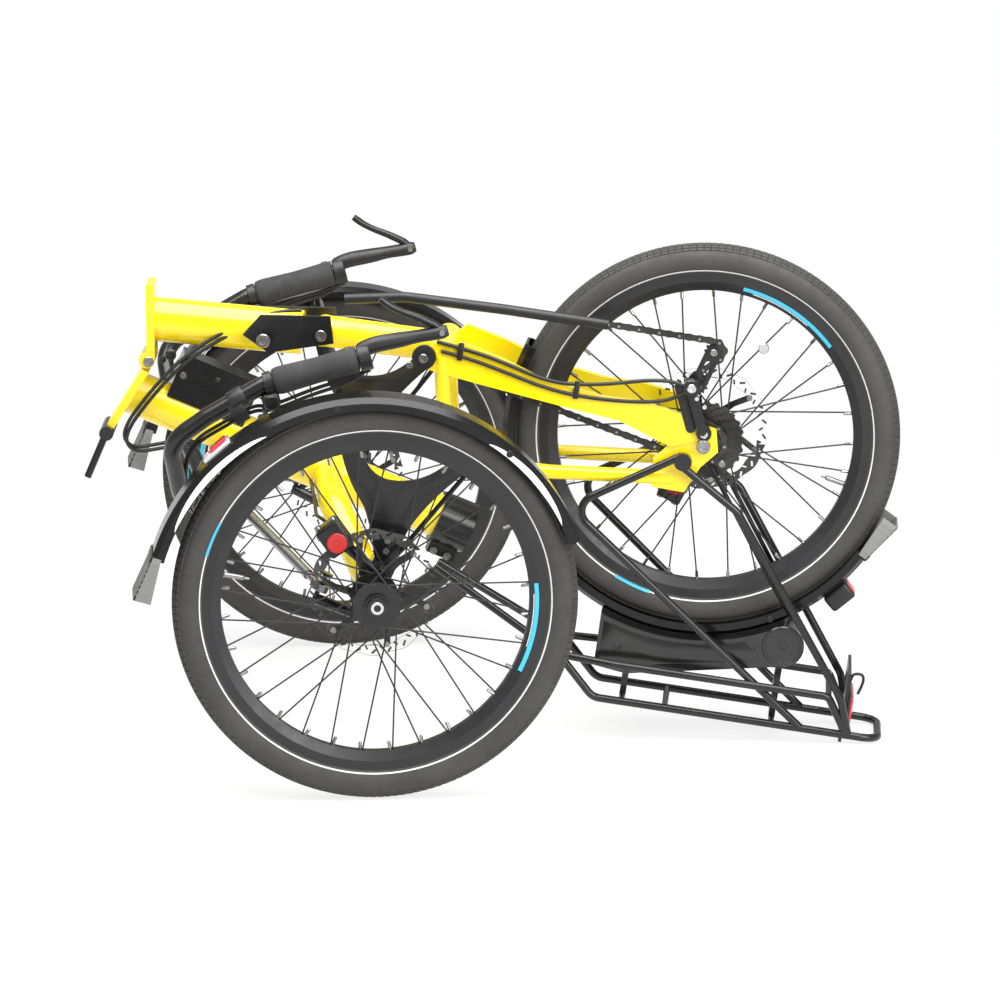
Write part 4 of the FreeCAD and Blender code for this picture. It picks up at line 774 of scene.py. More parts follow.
def makeLever(word, side):
    start, end, run, over = barEnd(side)
    body, grip = barSetup["body"], barSetup["grip"]
    seat = end - run * body
    nose = seat + run * body * 5 + over * body
    pivot = nose + run * body * 5 - over * body * 0.5
    pieces = [lathed("lever_clamp", drum(grip - 0.0002, 0.0, 0.0150, 0.0010, 0.0012, barSetup["bar"]), 48,
                     "black_plastic", runFrame(end - run * 0.0152, run))]
    pieces.append(barred("lever_body", [
        (seat + over * body * 0.9, 0.0095), (seat + run * 0.012 + over * 0.0125, 0.0105),
        (nose - over * 0.001, 0.0098), (nose + run * 0.018 - over * 0.002, 0.0080),
        (pivot - run * 0.006, 0.0085), (pivot + run * 0.004, 0.0088), (pivot + run * 0.008, 0.0060)],
        "black_plastic"))
    tip = pivot + Vector((-0.0740, side * 0.004, 0.0415))
    blade = [(pivot - run * 0.002 + over * 0.001, 0.0046), (pivot + over * 0.007 - run * 0.001, 0.0048)]
    for share, lift, size in ((0.22, 0.0045, 0.0050), (0.40, 0.0030, 0.0046), (0.62, -0.0008, 0.0042),
                              (0.82, -0.0020, 0.0042), (0.94, -0.0004, 0.0048), (1.0, 0.0008, 0.0042)):
        blade.append((pivot.lerp(tip, share) + over * lift, size))
    pieces.append(barred("lever_blade", blade, "black_metal", steps=10))
    pieces.append(lathed("lever_pin", drum(0.0038, -0.0092, 0.0092, 0.0004, 0.0008), 20, "steel",
                         Matrix.Translation(pivot)))
    barrel = [(0, 0), (0.0042, 0), (0.0050, 0.001), (0.0050, 0.007), (0.0042, 0.008), (0.0036, 0.008),
              (0.0036, 0.013), (0, 0.013)]
    pieces.append(lathed("lever_barrel", barrel, 20, "black_metal", runFrame(seat + over * 0.013 - run * 0.019, run)))
    pieces.append(bolted("clamp_bolt", 0.0034, 0.0030, Matrix.Translation(end - run * 0.0100 - over * 0.0135)
                         @ turnAbout((0, 0, 1), 90 * side)))
    pieces.append(boxed("clamp_ear", (0.010, 0.011, 0.0085), 0.0012, "black_plastic",
                        runFrame(end - run * 0.0100 - over * 0.0145, run)))
    dressed("brake_lever_" + word, pieces, worldFrame, "handlebar", "black_plastic")


def makeShifter(word, side):
    # A small trigger shifter slung under the bar behind the brake clamp.
    start, end, run, over = barEnd(side)
    spot = start + run * 0.0045 - over * 0.016
    pieces = [
        boxed("shifter_pod", (0.026, 0.022, 0.019), 0.005, "black_plastic", runFrame(spot - over * 0.004, run), 3),
        lathed("shifter_cover", drum(0.0090, -0.0148, 0.0148, 0.0012, 0.0012), 28, "black_metal",
               runFrame(spot - over * 0.006, Vector((0, 1, 0)), run)),
        lathed("shifter_clamp", drum(0.0142, 0, 0.0080, 0.0006, 0.0008, barSetup["bar"]), 40, "black_plastic",
               runFrame(start + run * 0.0015, run))]
    for turn, reach in ((-0.010, 0.034), (0.004, 0.027)):
        foot = spot - over * 0.012 + run * turn
        pieces.append(barred("shifter_lever", [
            (foot, 0.0032), (foot - over * 0.008 - Vector((0, side * 0.006, 0)), 0.0034),
            (foot - over * 0.014 - Vector((0, side * 0.016, 0)) - run * 0.004, 0.0036),
            (foot - over * 0.016 - Vector((0, side * reach * 0.8, 0)) - run * 0.008, 0.0044)], "black_plastic"))
    dressed("shifter_" + word, pieces, worldFrame, "handlebar", "black_plastic")


def makeStrap(word, side, share):
    # A hook-and-loop strap wound round the bar with its loose tail hanging.
    low, high = barPoint(side, 4), barPoint(side, 5)
    spot = low.lerp(high, share)
    run = (high - low).normalized()
    wrap = lathed("strap_wrap", drum(0.0134, 0, 0.0200, 0.0006, 0.0020, barSetup["core"]), 40, "cable_black",
                  runFrame(spot, run))
    tailLine = [(0.0010 + 18.0 * z * z, z) for z in (-0.015, -0.010, -0.005, 0.0, 0.005, 0.010, 0.015)]
    tailLine += [(x - 0.0018, z) for x, z in reversed(tailLine)]
    tail = plated("strap_tail", [tailLine], 0.018, "cable_black",
                  runFrame(spot + run * 0.010 + Vector((0, side * 0.0128, -0.0130)), run), bevel=0.0003)
    dressed("bar_strap_" + word, [wrap, tail], worldFrame, "handlebar", "cable_black")


for word, side in sides.items():
    makeGrip(word, side)
    makeLever(word, side)
    makeShifter(word, side)
makeStrap("right", -1, 0.42)
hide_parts("grips")
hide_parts("brake_levers")
print("handlebar dressed")


# Brake calipers over each disc's edge, with a red adjuster knob on the spoke side

caliperSetup = {
    "reach": 0.084,
    "plane": -0.043,
    "angles": {"left": 124.0, "right": 56.0, "rear": 110.0},
    "rearFoot": (0.0378, 0.0555, 0.0567),
    "knob": [(0, 0.0177), (0.0118, 0.0177), (0.0124, 0.0184), (0.0124, 0.0204), (0.0112, 0.0212),
             (0.0085, 0.0206), (0.0040, 0.0204), (0.0036, 0.0196), (0, 0.0195)],
    "drum": [(0, -0.0175), (0.0122, -0.0175), (0.0122, -0.0205), (0.0108, -0.0222), (0.0055, -0.0226),
             (0.0050, -0.0234), (0, -0.0234)],
    "arm": [(-0.0090, -0.0060), (0.0020, -0.0085), (0.0210, -0.0050), (0.0235, 0.0), (0.0210, 0.0050),
            (0.0020, 0.0085), (-0.0090, 0.0060)],
    "kingpinBack": 14.0,
    "kingpinLean": 8.0,
    "kingpinIn": 0.090,
}


def kingpin(side):
    # The kingpin's middle, its axis, its outward and its forward direction.
    setup = caliperSetup
    steer = turnAbout((0, 1, 0), layout["foldedPitch"] - setup["kingpinBack"])
    lean = turnAbout(steer @ Vector((1, 0, 0)), side * setup["kingpinLean"])
    centre = frontFrame @ Vector((0, side * (layout["halfTrack"] - setup["kingpinIn"]), layout["axleHeight"]))
    return centre, lean @ (steer @ Vector((0, 0, 1))), lean @ Vector((0, side, 0)), steer @ Vector((1, 0, 0))


def caliperFoot(word):
    if word == "rear":
        return rearFrame @ Vector(caliperSetup["rearFoot"])
    centre, axis, outward, ahead = kingpin(sides[word])
    return centre + outward * 0.0290 + axis * 0.0170 - ahead * 0.0090


def makeCaliper(word, body):
    setup = caliperSetup
    angle = setup["angles"][word]
    place = (wheelFrames[word] @ Matrix.Translation(around(setup["reach"], angle, setup["plane"]))
             @ turnAbout((0, 1, 0), -angle))
    pieces = [boxed("caliper_cheek", (0.038, 0.0105, 0.032), 0.0030, "black_metal", shiftBy(0, side * 0.0125, 0), 3)
              for side in (-1, 1)]
    pieces.append(boxed("caliper_bridge", (0.0105, 0.030, 0.026), 0.0022, "black_metal", shiftBy(0.0140, 0, 0)))
    for along in (-0.0105, 0.0105):
        pieces.append(bolted("caliper_bolt", 0.0036, 0.0030, shiftBy(0.0135, -0.0175, along) @ flipped))
        pieces.append(bolted("caliper_foot", 0.0042, 0.0040,
                             shiftBy(0.0188, 0.0, along) @ turnAbout((0, 0, 1), -90)))
    pieces.append(lathed("caliper_knob", setup["knob"], 20, "red_knob", shiftBy(-0.004, 0, 0)))
    pieces.append(lathed("caliper_drum", setup["drum"], 32, "black_metal", shiftBy(-0.004, 0, 0)))
    pieces.append(plated("caliper_arm", [setup["arm"]], 0.0022, "steel",
                         shiftBy(-0.004, -0.0215, 0.0) @ turnAbout((0, 1, 0), 62), bevel=0.0004))
    pieces += [boxed("caliper_pad", (0.020, 0.0042, 0.021), 0.0008, "steel", shiftBy(-0.0100, side * 0.0052, 0))
               for side in (-1, 1)]
    foot = place.inverted() @ caliperFoot(word)
    hold = Vector((0.0, -0.0125, 0.0))
    pieces.append(barred("caliper_bracket", [(hold, 0.0080), (hold.lerp(foot, 0.5), 0.0068), (foot, 0.0068)],
                         "black_metal"))
    dressed("caliper_body_" + word, pieces, place, body, "black_metal", "caliper_" + word)


for word, body in guardBodies.items():
    makeCaliper(word, body)
print("calipers made")


# Drive: toothed cogs, jockey wheels in a slotted cage, a linked chain and the idler's bolts

driveSetup = {
    "cogs": 8,
    "large": 0.050,
    "small": 0.022,
    "bore": 0.0165,
    "pitch": 0.0023,
    "start": -0.031,
    "chainSide": -0.049,
    "upper": (0.0176, -0.0725),
    "lower": (0.0044, -0.1162),
    "jockey": 0.0125,
    "link": 0.0127,
    "jockeyRun": 0.0135,
    "cogRun": 0.0262,
    "tubeMouth": (0.1388, -0.1312),
    "idlerEnd": (0.3215, -0.0440),
    "hanger": (0.0019, -0.0662, -0.0160),
    "knuckle": (0.0250, -0.0735, -0.0725),
}


def gearOutline(radius, teeth, depth=0.0028, narrow=0.34):
    spots = []
    half = 180.0 / teeth
    for index in range(teeth):
        for reach, share in ((radius - depth, -0.92), (radius - depth * 0.85, -0.62), (radius, -narrow),
                             (radius, narrow * 0.6), (radius - depth * 0.85, 0.62)):
            spots.append(tuple(around(reach, half * 2 * index + half * share).xz))
    return spots


def makeCassette():
    setup = driveSetup
    start, bore = setup["start"], setup["bore"]
    pieces = []
    for index in range(setup["cogs"]):
        radius = setup["large"] + (setup["small"] - setup["large"]) * index / (setup["cogs"] - 1)
        teeth = max(11, int(round(2 * math.pi * radius / setup["link"])))
        outlines = [gearOutline(radius, teeth), ringPoints(bore, 32)]
        if radius > 0.036:
            outlines += [slotHole((radius + bore) / 2 - 0.001, 72 * hole + index * 9, (radius - 0.024) * 0.55,
                                  0.0075, 0) for hole in range(5)]
        pieces.append(plated("cog", outlines, 0.0017, "dark_steel",
                             shiftBy(0, start - 0.0010 - index * setup["pitch"], 0)))
    last = start - (setup["cogs"] - 1) * setup["pitch"]
    core = [(0.0, start + 0.0015), (0.0168, start + 0.0015), (0.0168, last - 0.0005), (0.0135, last - 0.0018),
            (0.0115, last - 0.0016), (0.0110, last + 0.0010), (0, last + 0.0012)]
    pieces.append(lathed("cassette_core", core, 40, "black_metal"))
    pieces.append(plated("lock_ring", [gearOutline(0.0142, 24, 0.0012), ringPoints(0.0105, 24)], 0.0016, "steel",
                         shiftBy(0, last - 0.0024, 0)))
    dressed("cassette_cogs", pieces, rearFrame, "wheel_rear", "black_metal", "cassette")


def makeDerailleur():
    setup = driveSetup
    side = setup["chainSide"]
    upper, lower = Vector(setup["upper"]), Vector(setup["lower"])
    cage = [capsule(upper, lower, 0.0098), capsule(upper.lerp(lower, 0.36), upper.lerp(lower, 0.64), 0.0042),
            circleAt(upper, 0.0028), circleAt(lower, 0.0028)]
    pieces = [plated("cage_plate", cage, 0.0018, "black_metal", shiftBy(0, side + offset * 0.0056, 0), bevel=0.0003)
              for offset in (-1, 1)]
    wheel = [gearOutline(setup["jockey"], 11, 0.0032, 0.3)]
    wheel += [circleAt(tuple(around(0.0062, 60 * hole).xz), 0.0013, 10) for hole in range(6)]
    for spot in (upper, lower):
        pieces.append(plated("jockey", wheel, 0.0024, "black_plastic", shiftBy(spot[0], side, spot[1])))
        pieces.append(bolted("jockey_bolt", 0.0046, 0.0024, shiftBy(spot[0], side - 0.0064, spot[1]) @ flipped))
    hanger, knuckle = Vector(setup["hanger"]), Vector(setup["knuckle"])
    for spot, reach in ((hanger, 0.9), (knuckle, 1.0)):
        pieces.append(lathed("derailleur_knuckle", drum(0.0106 * reach, -0.0080, 0.0080, 0.0012 * reach, 0.0014), 32,
                             "black_metal", Matrix.Translation(spot)))
        pieces.append(bolted("derailleur_bolt", 0.0056 * reach, 0.0026,
                             Matrix.Translation(spot + Vector((0, -0.0080, 0))) @ flipped, "bright_metal"))
    for offset, sideways in ((-0.0072, -0.0752), (0.0072, -0.0665)):
        arm = capsule((hanger.x + 0.010 + offset, hanger.z - 0.004), (knuckle.x + 0.008 + offset, knuckle.z + 0.004),
                      0.0062)
        pieces.append(plated("derailleur_link", [arm], 0.0050, "black_metal", shiftBy(0, sideways, 0), bevel=0.0008))
    pieces.append(barred("cage_arm", [(knuckle + Vector((0, 0.006, 0)), 0.0072), ((0.0190, -0.0620, -0.0730), 0.0068),
                                      ((upper[0], side - 0.0060, upper[1]), 0.0066)], "black_metal"))
    for spot in ((0.0060, -0.0770, -0.0510), (0.0170, -0.0770, -0.0600), (0.0320, -0.0742, -0.0890)):
        pieces.append(bolted("limit_bolt", 0.0030, 0.0022, Matrix.Translation(spot) @ flipped, "bright_metal", 12))
    dressed("derailleur_body", pieces, rearFrame, "rear_section", "black_metal", "derailleur")


def chainPath():
    # The chain's line in XZ, as points with straight runs between the turns.
    setup = driveSetup
    lower, upper, run = setup["lower"], setup["upper"], setup["jockeyRun"]
    spots = [setup["tubeMouth"], (lower[0], lower[1] - run)]
    for centre, reach, turns in ((lower, run, (-110, -135, -160, -185, -205)), (upper, run, (-30, -5, 20, 45, 65)),
                                 ((0, 0), setup["cogRun"], (-80, -105, -130, -155, -180, -205, -230, -255, -275))):
        for degrees in turns:
            spots.append((centre[0] + reach * math.cos(math.radians(degrees)),
                          centre[1] + reach * math.sin(math.radians(degrees))))
    spots.append(setup["idlerEnd"])
    return [Vector(spot) for spot in spots]


def chainPins():
    # Places one link apart along the chain's line.
    spots = chainPath()
    pins = [spots[0]]
    need = driveSetup["link"]
    here, index = spots[0], 1
    while index < len(spots):
        gap = (spots[index] - here).length
        if gap >= need:
            here = here + (spots[index] - here) * (need / gap)
            pins.append(here)
            need = driveSetup["link"]
        else:
            need -= gap
            here = spots[index]
            index += 1
    return pins


def makeChain():
    pins = chainPins()
    places = []
    for first, last in zip(pins, pins[1:]):
        middle = (first + last) / 2
        turn = math.degrees(math.atan2(last.y - first.y, last.x - first.x))
        places.append(shiftBy(middle.x, driveSetup["chainSide"], middle.y) @ turnAbout((0, 1, 0), -turn))
    half = driveSetup["link"] / 2
    waist = capsule((-half, 0.0), (half, 0.0), 0.0040, 6)
    waist = waist[:7] + [(0.0, 0.0031)] + waist[7:] + [(0.0, -0.0031)]
    links = []
    for first, reach in ((0, 0.0024), (1, 0.0034)):
        pieces = [plated("link_plate", [waist], 0.0009, "dark_steel", shiftBy(0, side * reach, 0))
                  for side in (-1, 1)]
        pin = [(0, -reach - 0.0008), (0.0018, -reach - 0.0008), (0.0018, reach + 0.0008), (0, reach + 0.0008)]
        pieces.append(lathed("link_pin", pin, 8, "steel", shiftBy(-half, 0, 0)))
        links += copies(joined("chain_link", pieces), places[first::2])
    dressed("chain_links", links, rearFrame, "rear_section", "steel", "chain")


# Bolts of the rear section: place, the side that it faces and radius
rearBolts = [
    ((0.360, -0.0822, -0.061), -1, 0.0058), ((0.377, -0.0668, -0.047), -1, 0.0040),
    ((0.5640, -0.0452, -0.0460), -1, 0.0090), ((0.5640, 0.0452, -0.0460), 1, 0.0090),
    ((0.4940, -0.0350, -0.0610), -1, 0.0072), ((0.4940, 0.0350, -0.0610), 1, 0.0072),
    ((-0.026, -0.0640, 0.020), -1, 0.0044), ((0.0230, -0.0760, 0.0230), -1, 0.0052),
    ((0.0230, 0.0760, 0.0230), 1, 0.0052), ((0.0, -0.0712, 0.0), -1, 0.0088),
    ((0.0, 0.0712, 0.0), 1, 0.0088), ((0.042, 0.0642, 0.050), 1, 0.0042),
    ((0.046, 0.0642, 0.030), 1, 0.0042),
]

makeCassette()
makeDerailleur()
makeChain()
dressed("rear_bolts", [bolted("bolt", radius, radius * 0.6, lookAlong(spot, (0, face, 0)))
                       for spot, face, radius in rearBolts], rearFrame, "rear_section", "steel")
print("drive made")


# Rear light, cables, painted highlights on the mudguards, flap ribs and the reflectors

def makeLight():
    angle = 138.0
    knob = [(0, 0.0150), (0.0050, 0.0150), (0.0058, 0.0162), (0.0058, 0.0190), (0.0048, 0.0198), (0, 0.0198)]
    pieces = [
        boxed("light_shell", (0.0236, 0.0396, 0.0356), 0.0045, "black_plastic", segments=3),
        boxed("light_lens", (0.0170, 0.0330, 0.0060), 0.0028, "red_lens", shiftBy(0.0010, 0, 0.0158), 3),
        boxed("light_bezel", (0.0205, 0.0365, 0.0030), 0.0012, "black_metal", shiftBy(0.0010, 0, 0.0148)),
        boxed("light_foot", (0.0060, 0.0240, 0.0220), 0.0014, "black_plastic", shiftBy(-0.0125, 0, 0)),
        lathed("light_knob", knob, 20, "black_metal", shiftBy(0.0010, 0, -0.0080))]
    place = rearFrame @ Matrix.Translation(around(0.2663, angle)) @ turnAbout((0, 1, 0), -angle)
    dressed("rear_lamp", pieces, place, "rear_section", "black_plastic", "rear_light")


# Cables along the swingarm, in shares of its length and drop
stayCables = {
    "base": 0.340,
    "drop": 0.063,
    "side": 0.0665,
    "radius": 0.0024,
    "routes": [
        [(1.02, -1.30), (0.90, -1.22), (0.78, -1.10), (0.58, -0.80), (0.40, -0.92), (0.22, -1.18), (0.11, -1.20),
         (0.055, -1.02)],
        [(1.00, -1.12), (0.90, -1.06), (0.78, -0.92), (0.58, -0.66), (0.40, -0.62), (0.20, -0.72), (0.12, -0.90),
         (0.075, -1.10)],
    ],
    "brake": [(1.00, -1.12), (0.90, -1.06), (0.78, -0.92), (0.58, -0.66), (0.40, -0.52), (0.24, -0.45)],
    "cap": [(0, -0.006), (0.0030, -0.006), (0.0034, -0.005), (0.0034, 0.004), (0.0026, 0.005), (0, 0.005)],
}


def stayPoint(ahead, up, side):
    return Vector((stayCables["base"] * ahead, side, stayCables["drop"] * up))


def makeRearCables():
    setup = stayCables
    side = -setup["side"] - setup["radius"]
    pieces = []
    for route in setup["routes"]:
        spots = [stayPoint(ahead, up, side) for ahead, up in route]
        spots[-1].y = side - 0.004
        pieces.append(wired("rear_cable", spots, setup["radius"], steps=10))
        pieces.append(lathed("cable_cap", setup["cap"], 16, "steel", lookAlong(spots[-1], spots[-1] - spots[-2])))
    for ahead, up in ((0.93, -1.16), (0.49, -0.74)):
        pieces.append(boxed("cable_clip", (0.007, 0.0085, 0.022), 0.0016, "black_plastic",
                            Matrix.Translation(stayPoint(ahead, up, side + 0.0015))))
    dressed("rear_cable_pair", pieces, rearFrame, "rear_section", "cable_black", "rear_cables")


guardSetup = {
    "front": {"radius": 0.271, "half": 0.030, "end": 163.0, "rivets": (50.0, 98.0)},
    "rear": {"radius": 0.254, "half": 0.029, "end": 152.0, "rivets": (118.0,)},
    "thickness": 0.003,
    "flap": 0.062,
    "ribs": 9,
    "sideRibs": 7,
    # Painted highlights: pale crescents, each a start and sweep in degrees, standing for light reflected off the
    # front guards' glossy sides
    "paintedHighlights": [(118.0, 36.0), (26.0, 30.0)],
    "highlightInner": 0.2572,
    "highlightWide": 0.0074,
    "highlightSteps": 24,
}


def guardSizes(word):
    return guardSetup["rear" if word == "rear" else "front"]


def guardFrame(word):
    if word == "rear":
        return rearFrame
    return frontFrame @ shiftBy(-0.009, sides[word] * layout["halfTrack"], layout["axleHeight"] - 0.017)


def makeFlap(word, body):
    # A ribbed grey flap over the guard's flared end.
    sizes = guardSizes(word)
    out = around(1.0, sizes["end"])
    along = Vector((-out.z, 0, out.x))
    turn = Matrix((along, Vector((0, 1, 0)), out)).transposed().to_4x4()
    spot = out * (sizes["radius"] - guardSetup["thickness"]) - along * 0.009
    reach, half = guardSetup["flap"], sizes["half"]
    end = reach + 0.0002
    pieces = [plated("flap_top", [[(0.0055, 0.0022), (end, 0.0090), (end, 0.0111), (0.0055, 0.0037)]],
                     half * 2 + 0.0004, "flap_grey")]
    for side in (-1, 1):
        skirt = [(0.0055, -0.0080), (end, -0.0111), (end, 0.0111), (0.0055, 0.0037)]
        pieces.append(plated("flap_skirt", [skirt], 0.0034, "flap_grey", shiftBy(0, side * (half - 0.0015), 0),
                             bevel=0.0004))
        for index in range(guardSetup["sideRibs"]):
            share = (index + 0.5) / guardSetup["sideRibs"]
            ahead = 0.010 + 0.048 * share
            rib = capsule((ahead, -0.0060 - 0.0030 * share), (ahead, 0.0024 + 0.0070 * share), 0.0011, 4)
            pieces.append(plated("flap_side_rib", [rib], 0.0008, "flap_grey", shiftBy(0, side * (half + 0.0003), 0)))
    for index in range(guardSetup["ribs"]):
        middle = -half + 2 * half * (index + 0.5) / guardSetup["ribs"]
        rib = [(0.0080, 0.0036), (reach - 0.001, 0.0106), (reach - 0.001, 0.0116), (0.0120, 0.0049)]
        pieces.append(plated("flap_rib", [rib], 0.0026, "flap_grey", shiftBy(0, middle, 0), bevel=0.0003))
    band = [(0.0040, 0.0030), (0.0125, 0.0041), (0.0125, 0.0054), (0.0040, 0.0044)]
    pieces.append(plated("flap_band", [band], half * 2 + 0.0016, "black_plastic", bevel=0.0003))
    dressed("mudflap_" + word, pieces, guardFrame(word) @ Matrix.Translation(spot) @ turn, body, "guard_black")


def guardPaintedHighlight(start, sweep, side):
    # A painted highlight: a pale crescent of reflected light drawn on a front guard's side wall, its ends drawn to
    # points.
    setup = guardSetup
    inner = setup["highlightInner"]
    low, high = [], []
    for index in range(setup["highlightSteps"] + 1):
        share = index / setup["highlightSteps"]
        reach = inner + 0.0003 + setup["highlightWide"] * math.sin(math.pi * share) ** 0.6
        low.append(tuple(around(inner, start + sweep * share).xz))
        high.append(tuple(around(reach, start + sweep * share).xz))
    # The white finish paints reflected light onto the black guard
    return plated("guard_painted_highlight", [low + high[::-1]], 0.0007, "white_gloss",
                  shiftBy(0, side * setup["front"]["half"], 0))


def makeGuardTrim(word, body):
    sizes = guardSizes(word)
    pieces = []
    for side in (-1, 1):
        if word != "rear":
            # Painted highlight crescents on both side walls of each front guard
            pieces += [guardPaintedHighlight(start, sweep, side) for start, sweep in guardSetup["paintedHighlights"]]
        for angle in sizes["rivets"]:
            spot = around(sizes["radius"] - 0.0085, angle, side * (sizes["half"] - 0.0002))
            pieces.append(bolted("guard_rivet", 0.0042, 0.0022, lookAlong(spot, (0, side, 0)), "black_metal"))
    dressed("guard_trim_" + word, pieces, guardFrame(word), body, "guard_black")


def makeGuardReflector(word, body):
    # A small red reflector on a pale base, fixed on the guard's crown behind the rider.
    angle = 131.0
    place = guardFrame(word) @ Matrix.Translation(around(0.2735, angle)) @ turnAbout((0, 1, 0), -angle)
    pieces = [
        boxed("reflector_base", (0.0055, 0.030, 0.040), 0.0018, "clear_lens"),
        boxed("reflector_lens", (0.0040, 0.024, 0.024), 0.0014, "red_lens", shiftBy(0.0038, 0, -0.0050)),
        bolted("reflector_bolt", 0.0035, 0.0024, lookAlong((0.0024, 0, 0.0130), (1, 0, 0)), "bright_metal")]
    dressed("guard_reflector_" + word, pieces, place, body, "guard_black")


makeLight()
makeRearCables()
for word, body in guardBodies.items():
    makeFlap(word, body)
    makeGuardTrim(word, body)
    if word != "rear":
        makeGuardReflector(word, body)
print("guards dressed")


# Hub ends and kingpin bolts

hubSetup = {
    "cap": [(0, 0.0340), (0.0121, 0.0340), (0.0122, 0.0376), (0.0110, 0.0390), (0.0090, 0.0394), (0.0084, 0.0384),
            (0.0050, 0.0384), (0.0046, 0.0360), (0, 0.0360)],
    "disc": [(0, 0.0392), (0.0040, 0.0392), (0.0044, 0.0401), (0.0076, 0.0401), (0.0084, 0.0392), (0.0084, 0.0380)],
}


def makeHubEnd(word):
    pieces = [lathed("hub_end", hubSetup["cap"], 40, "black_metal"),
              lathed("hub_disc", hubSetup["disc"], 32, "bright_metal")]
    dressed("hub_end_" + word, pieces, wheelFrames[word], "wheel_" + word, "black_metal")


def makeKnuckleBolts(word, side):
    centre, axis, outward, ahead = kingpin(side)
    pieces = [bolted("bolt", 0.0078, 0.0042, lookAlong(centre + end * 0.0418, end)) for end in (axis, -axis)]
    pieces += [bolted("bolt", 0.0040, 0.0030, lookAlong(centre + outward * 0.0310 + axis * along, outward))
               for along in (-0.024, 0.0, 0.024)]
    dressed("knuckle_bolts_" + word, pieces, worldFrame, "knuckle_" + word, "steel")


for word in sides:
    makeHubEnd(word)
for word, side in sides.items():
    makeKnuckleBolts(word, side)
print("hubs and kingpins dressed")


# Plates, bolts and cables of the front frame

# The stay plate's outline and bolts are in millimetres
staySetup = {
    "outline": [(2, -10), (30, -10), (36, 22), (60, 58), (100, 98), (163, 143), (150, 158), (92, 118), (60, 98),
                (20, 96), (-4, 112), (-20, 150), (-27, 206), (-47, 206), (-42, 150), (-28, 96), (-6, 58), (0, 22)],
    "foot": 0.041,
    "side": 0.312,
    "lean": 9.5,
    "thickness": 0.0030,
    "bolts": [(-36, 196), (149, 143), (16, 6), (18, 20)],
}


def makeStayPlate(word, side):
    # The forked plate between the knuckle and the guard's inner edge.
    setup = staySetup
    outline = [(x / 1000, z / 1000) for x, z in setup["outline"]]
    pieces = [plated("stay_plate", [outline], setup["thickness"], "black_metal", bevel=0.0004, kind="NURBS")]
    for x, z in setup["bolts"]:
        for face in (-1, 1):
            spot = (x / 1000, face * setup["thickness"] / 2, z / 1000)
            pieces.append(bolted("stay_bolt", 0.0042, 0.0022, lookAlong(spot, (0, face, 0))))
    place = sidePoint(0, side * setup["side"], layout["axleHeight"] + setup["foot"])
    dressed("guard_stay_" + word, pieces, Matrix.Translation(place) @ turnAbout((1, 0, 0), -side * setup["lean"]),
            "knuckle_" + word, "black_metal")


# Bolts on both sides of the front frame: forward, sideways and up, then radius and height
frontBolts = [
    ((layout["pin"][0], 0.0338, layout["pin"][2]), 0.0066, 0.0036),
    ((0.1116, 0.0128, 0.2129), 0.0050, 0.0044), ((0.0949, 0.0128, 0.2206), 0.0050, 0.0044),
    ((-0.2214, 0.0258, 0.4560), 0.0046, 0.0030), ((-0.1560, 0.0258, 0.4270), 0.0046, 0.0030),
]


def makeFrontBolts():
    pieces = [bolted("bolt", radius, height, lookAlong(sidePoint(x, side * out, z), (0, side, 0)))
              for side in (-1, 1) for (x, out, z), radius, height in frontBolts]
    dressed("front_bolts", pieces, worldFrame, "front_frame", "steel")


def makeHingeKnobs():
    pieces = []
    for x, z, radius in ((-0.2370, 0.4850, 0.0070), (-0.2475, 0.4790, 0.0045)):
        outline = [(0, 0.0), (radius * 0.7, 0.0), (radius * 0.7, 0.008), (radius, 0.0085), (radius, 0.0135),
                   (radius * 0.8, 0.0150), (0, 0.0152)]
        pieces.append(lathed("hinge_knob", outline, 24, "black_metal",
                             lookAlong(sidePoint(x, -0.0262, z), (0, -1, 0))))
    dressed("hinge_knobs", pieces, worldFrame, "rear_section", "steel")


foldLine = [(-0.0720, -0.0350, 0.5390), (-0.1000, -0.0355, 0.5385), (-0.1285, -0.0370, 0.5300),
            (-0.1690, -0.0390, 0.5150), (-0.2180, -0.0410, 0.4850), (-0.2510, -0.0415, 0.4530),
            (-0.2760, -0.0415, 0.4230), (-0.2920, -0.0410, 0.4010), (-0.2990, -0.0380, 0.3800),
            (-0.2860, -0.0290, 0.3640), (-0.2560, -0.0170, 0.3660), (-0.2260, -0.0110, 0.3700),
            (-0.2120, -0.0100, 0.3660)]


def makeFoldCables():
    # Two cables from the rear section down over the fold to a clip under the main tube.
    pieces = []
    for offset in (0.0, 0.0056):
        spots = [sidePoint(x + offset * 0.5, y, z - offset) for x, y, z in foldLine]
        pieces.append(wired("fold_cable", spots, 0.0024))
    piece = joined("fold_cables", pieces)
    tuple(sidePoint(-0.2860, -0.041, 0.4080))
    tuple(sidePoint(-0.2200, -0.041, 0.4850))
    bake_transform(piece)


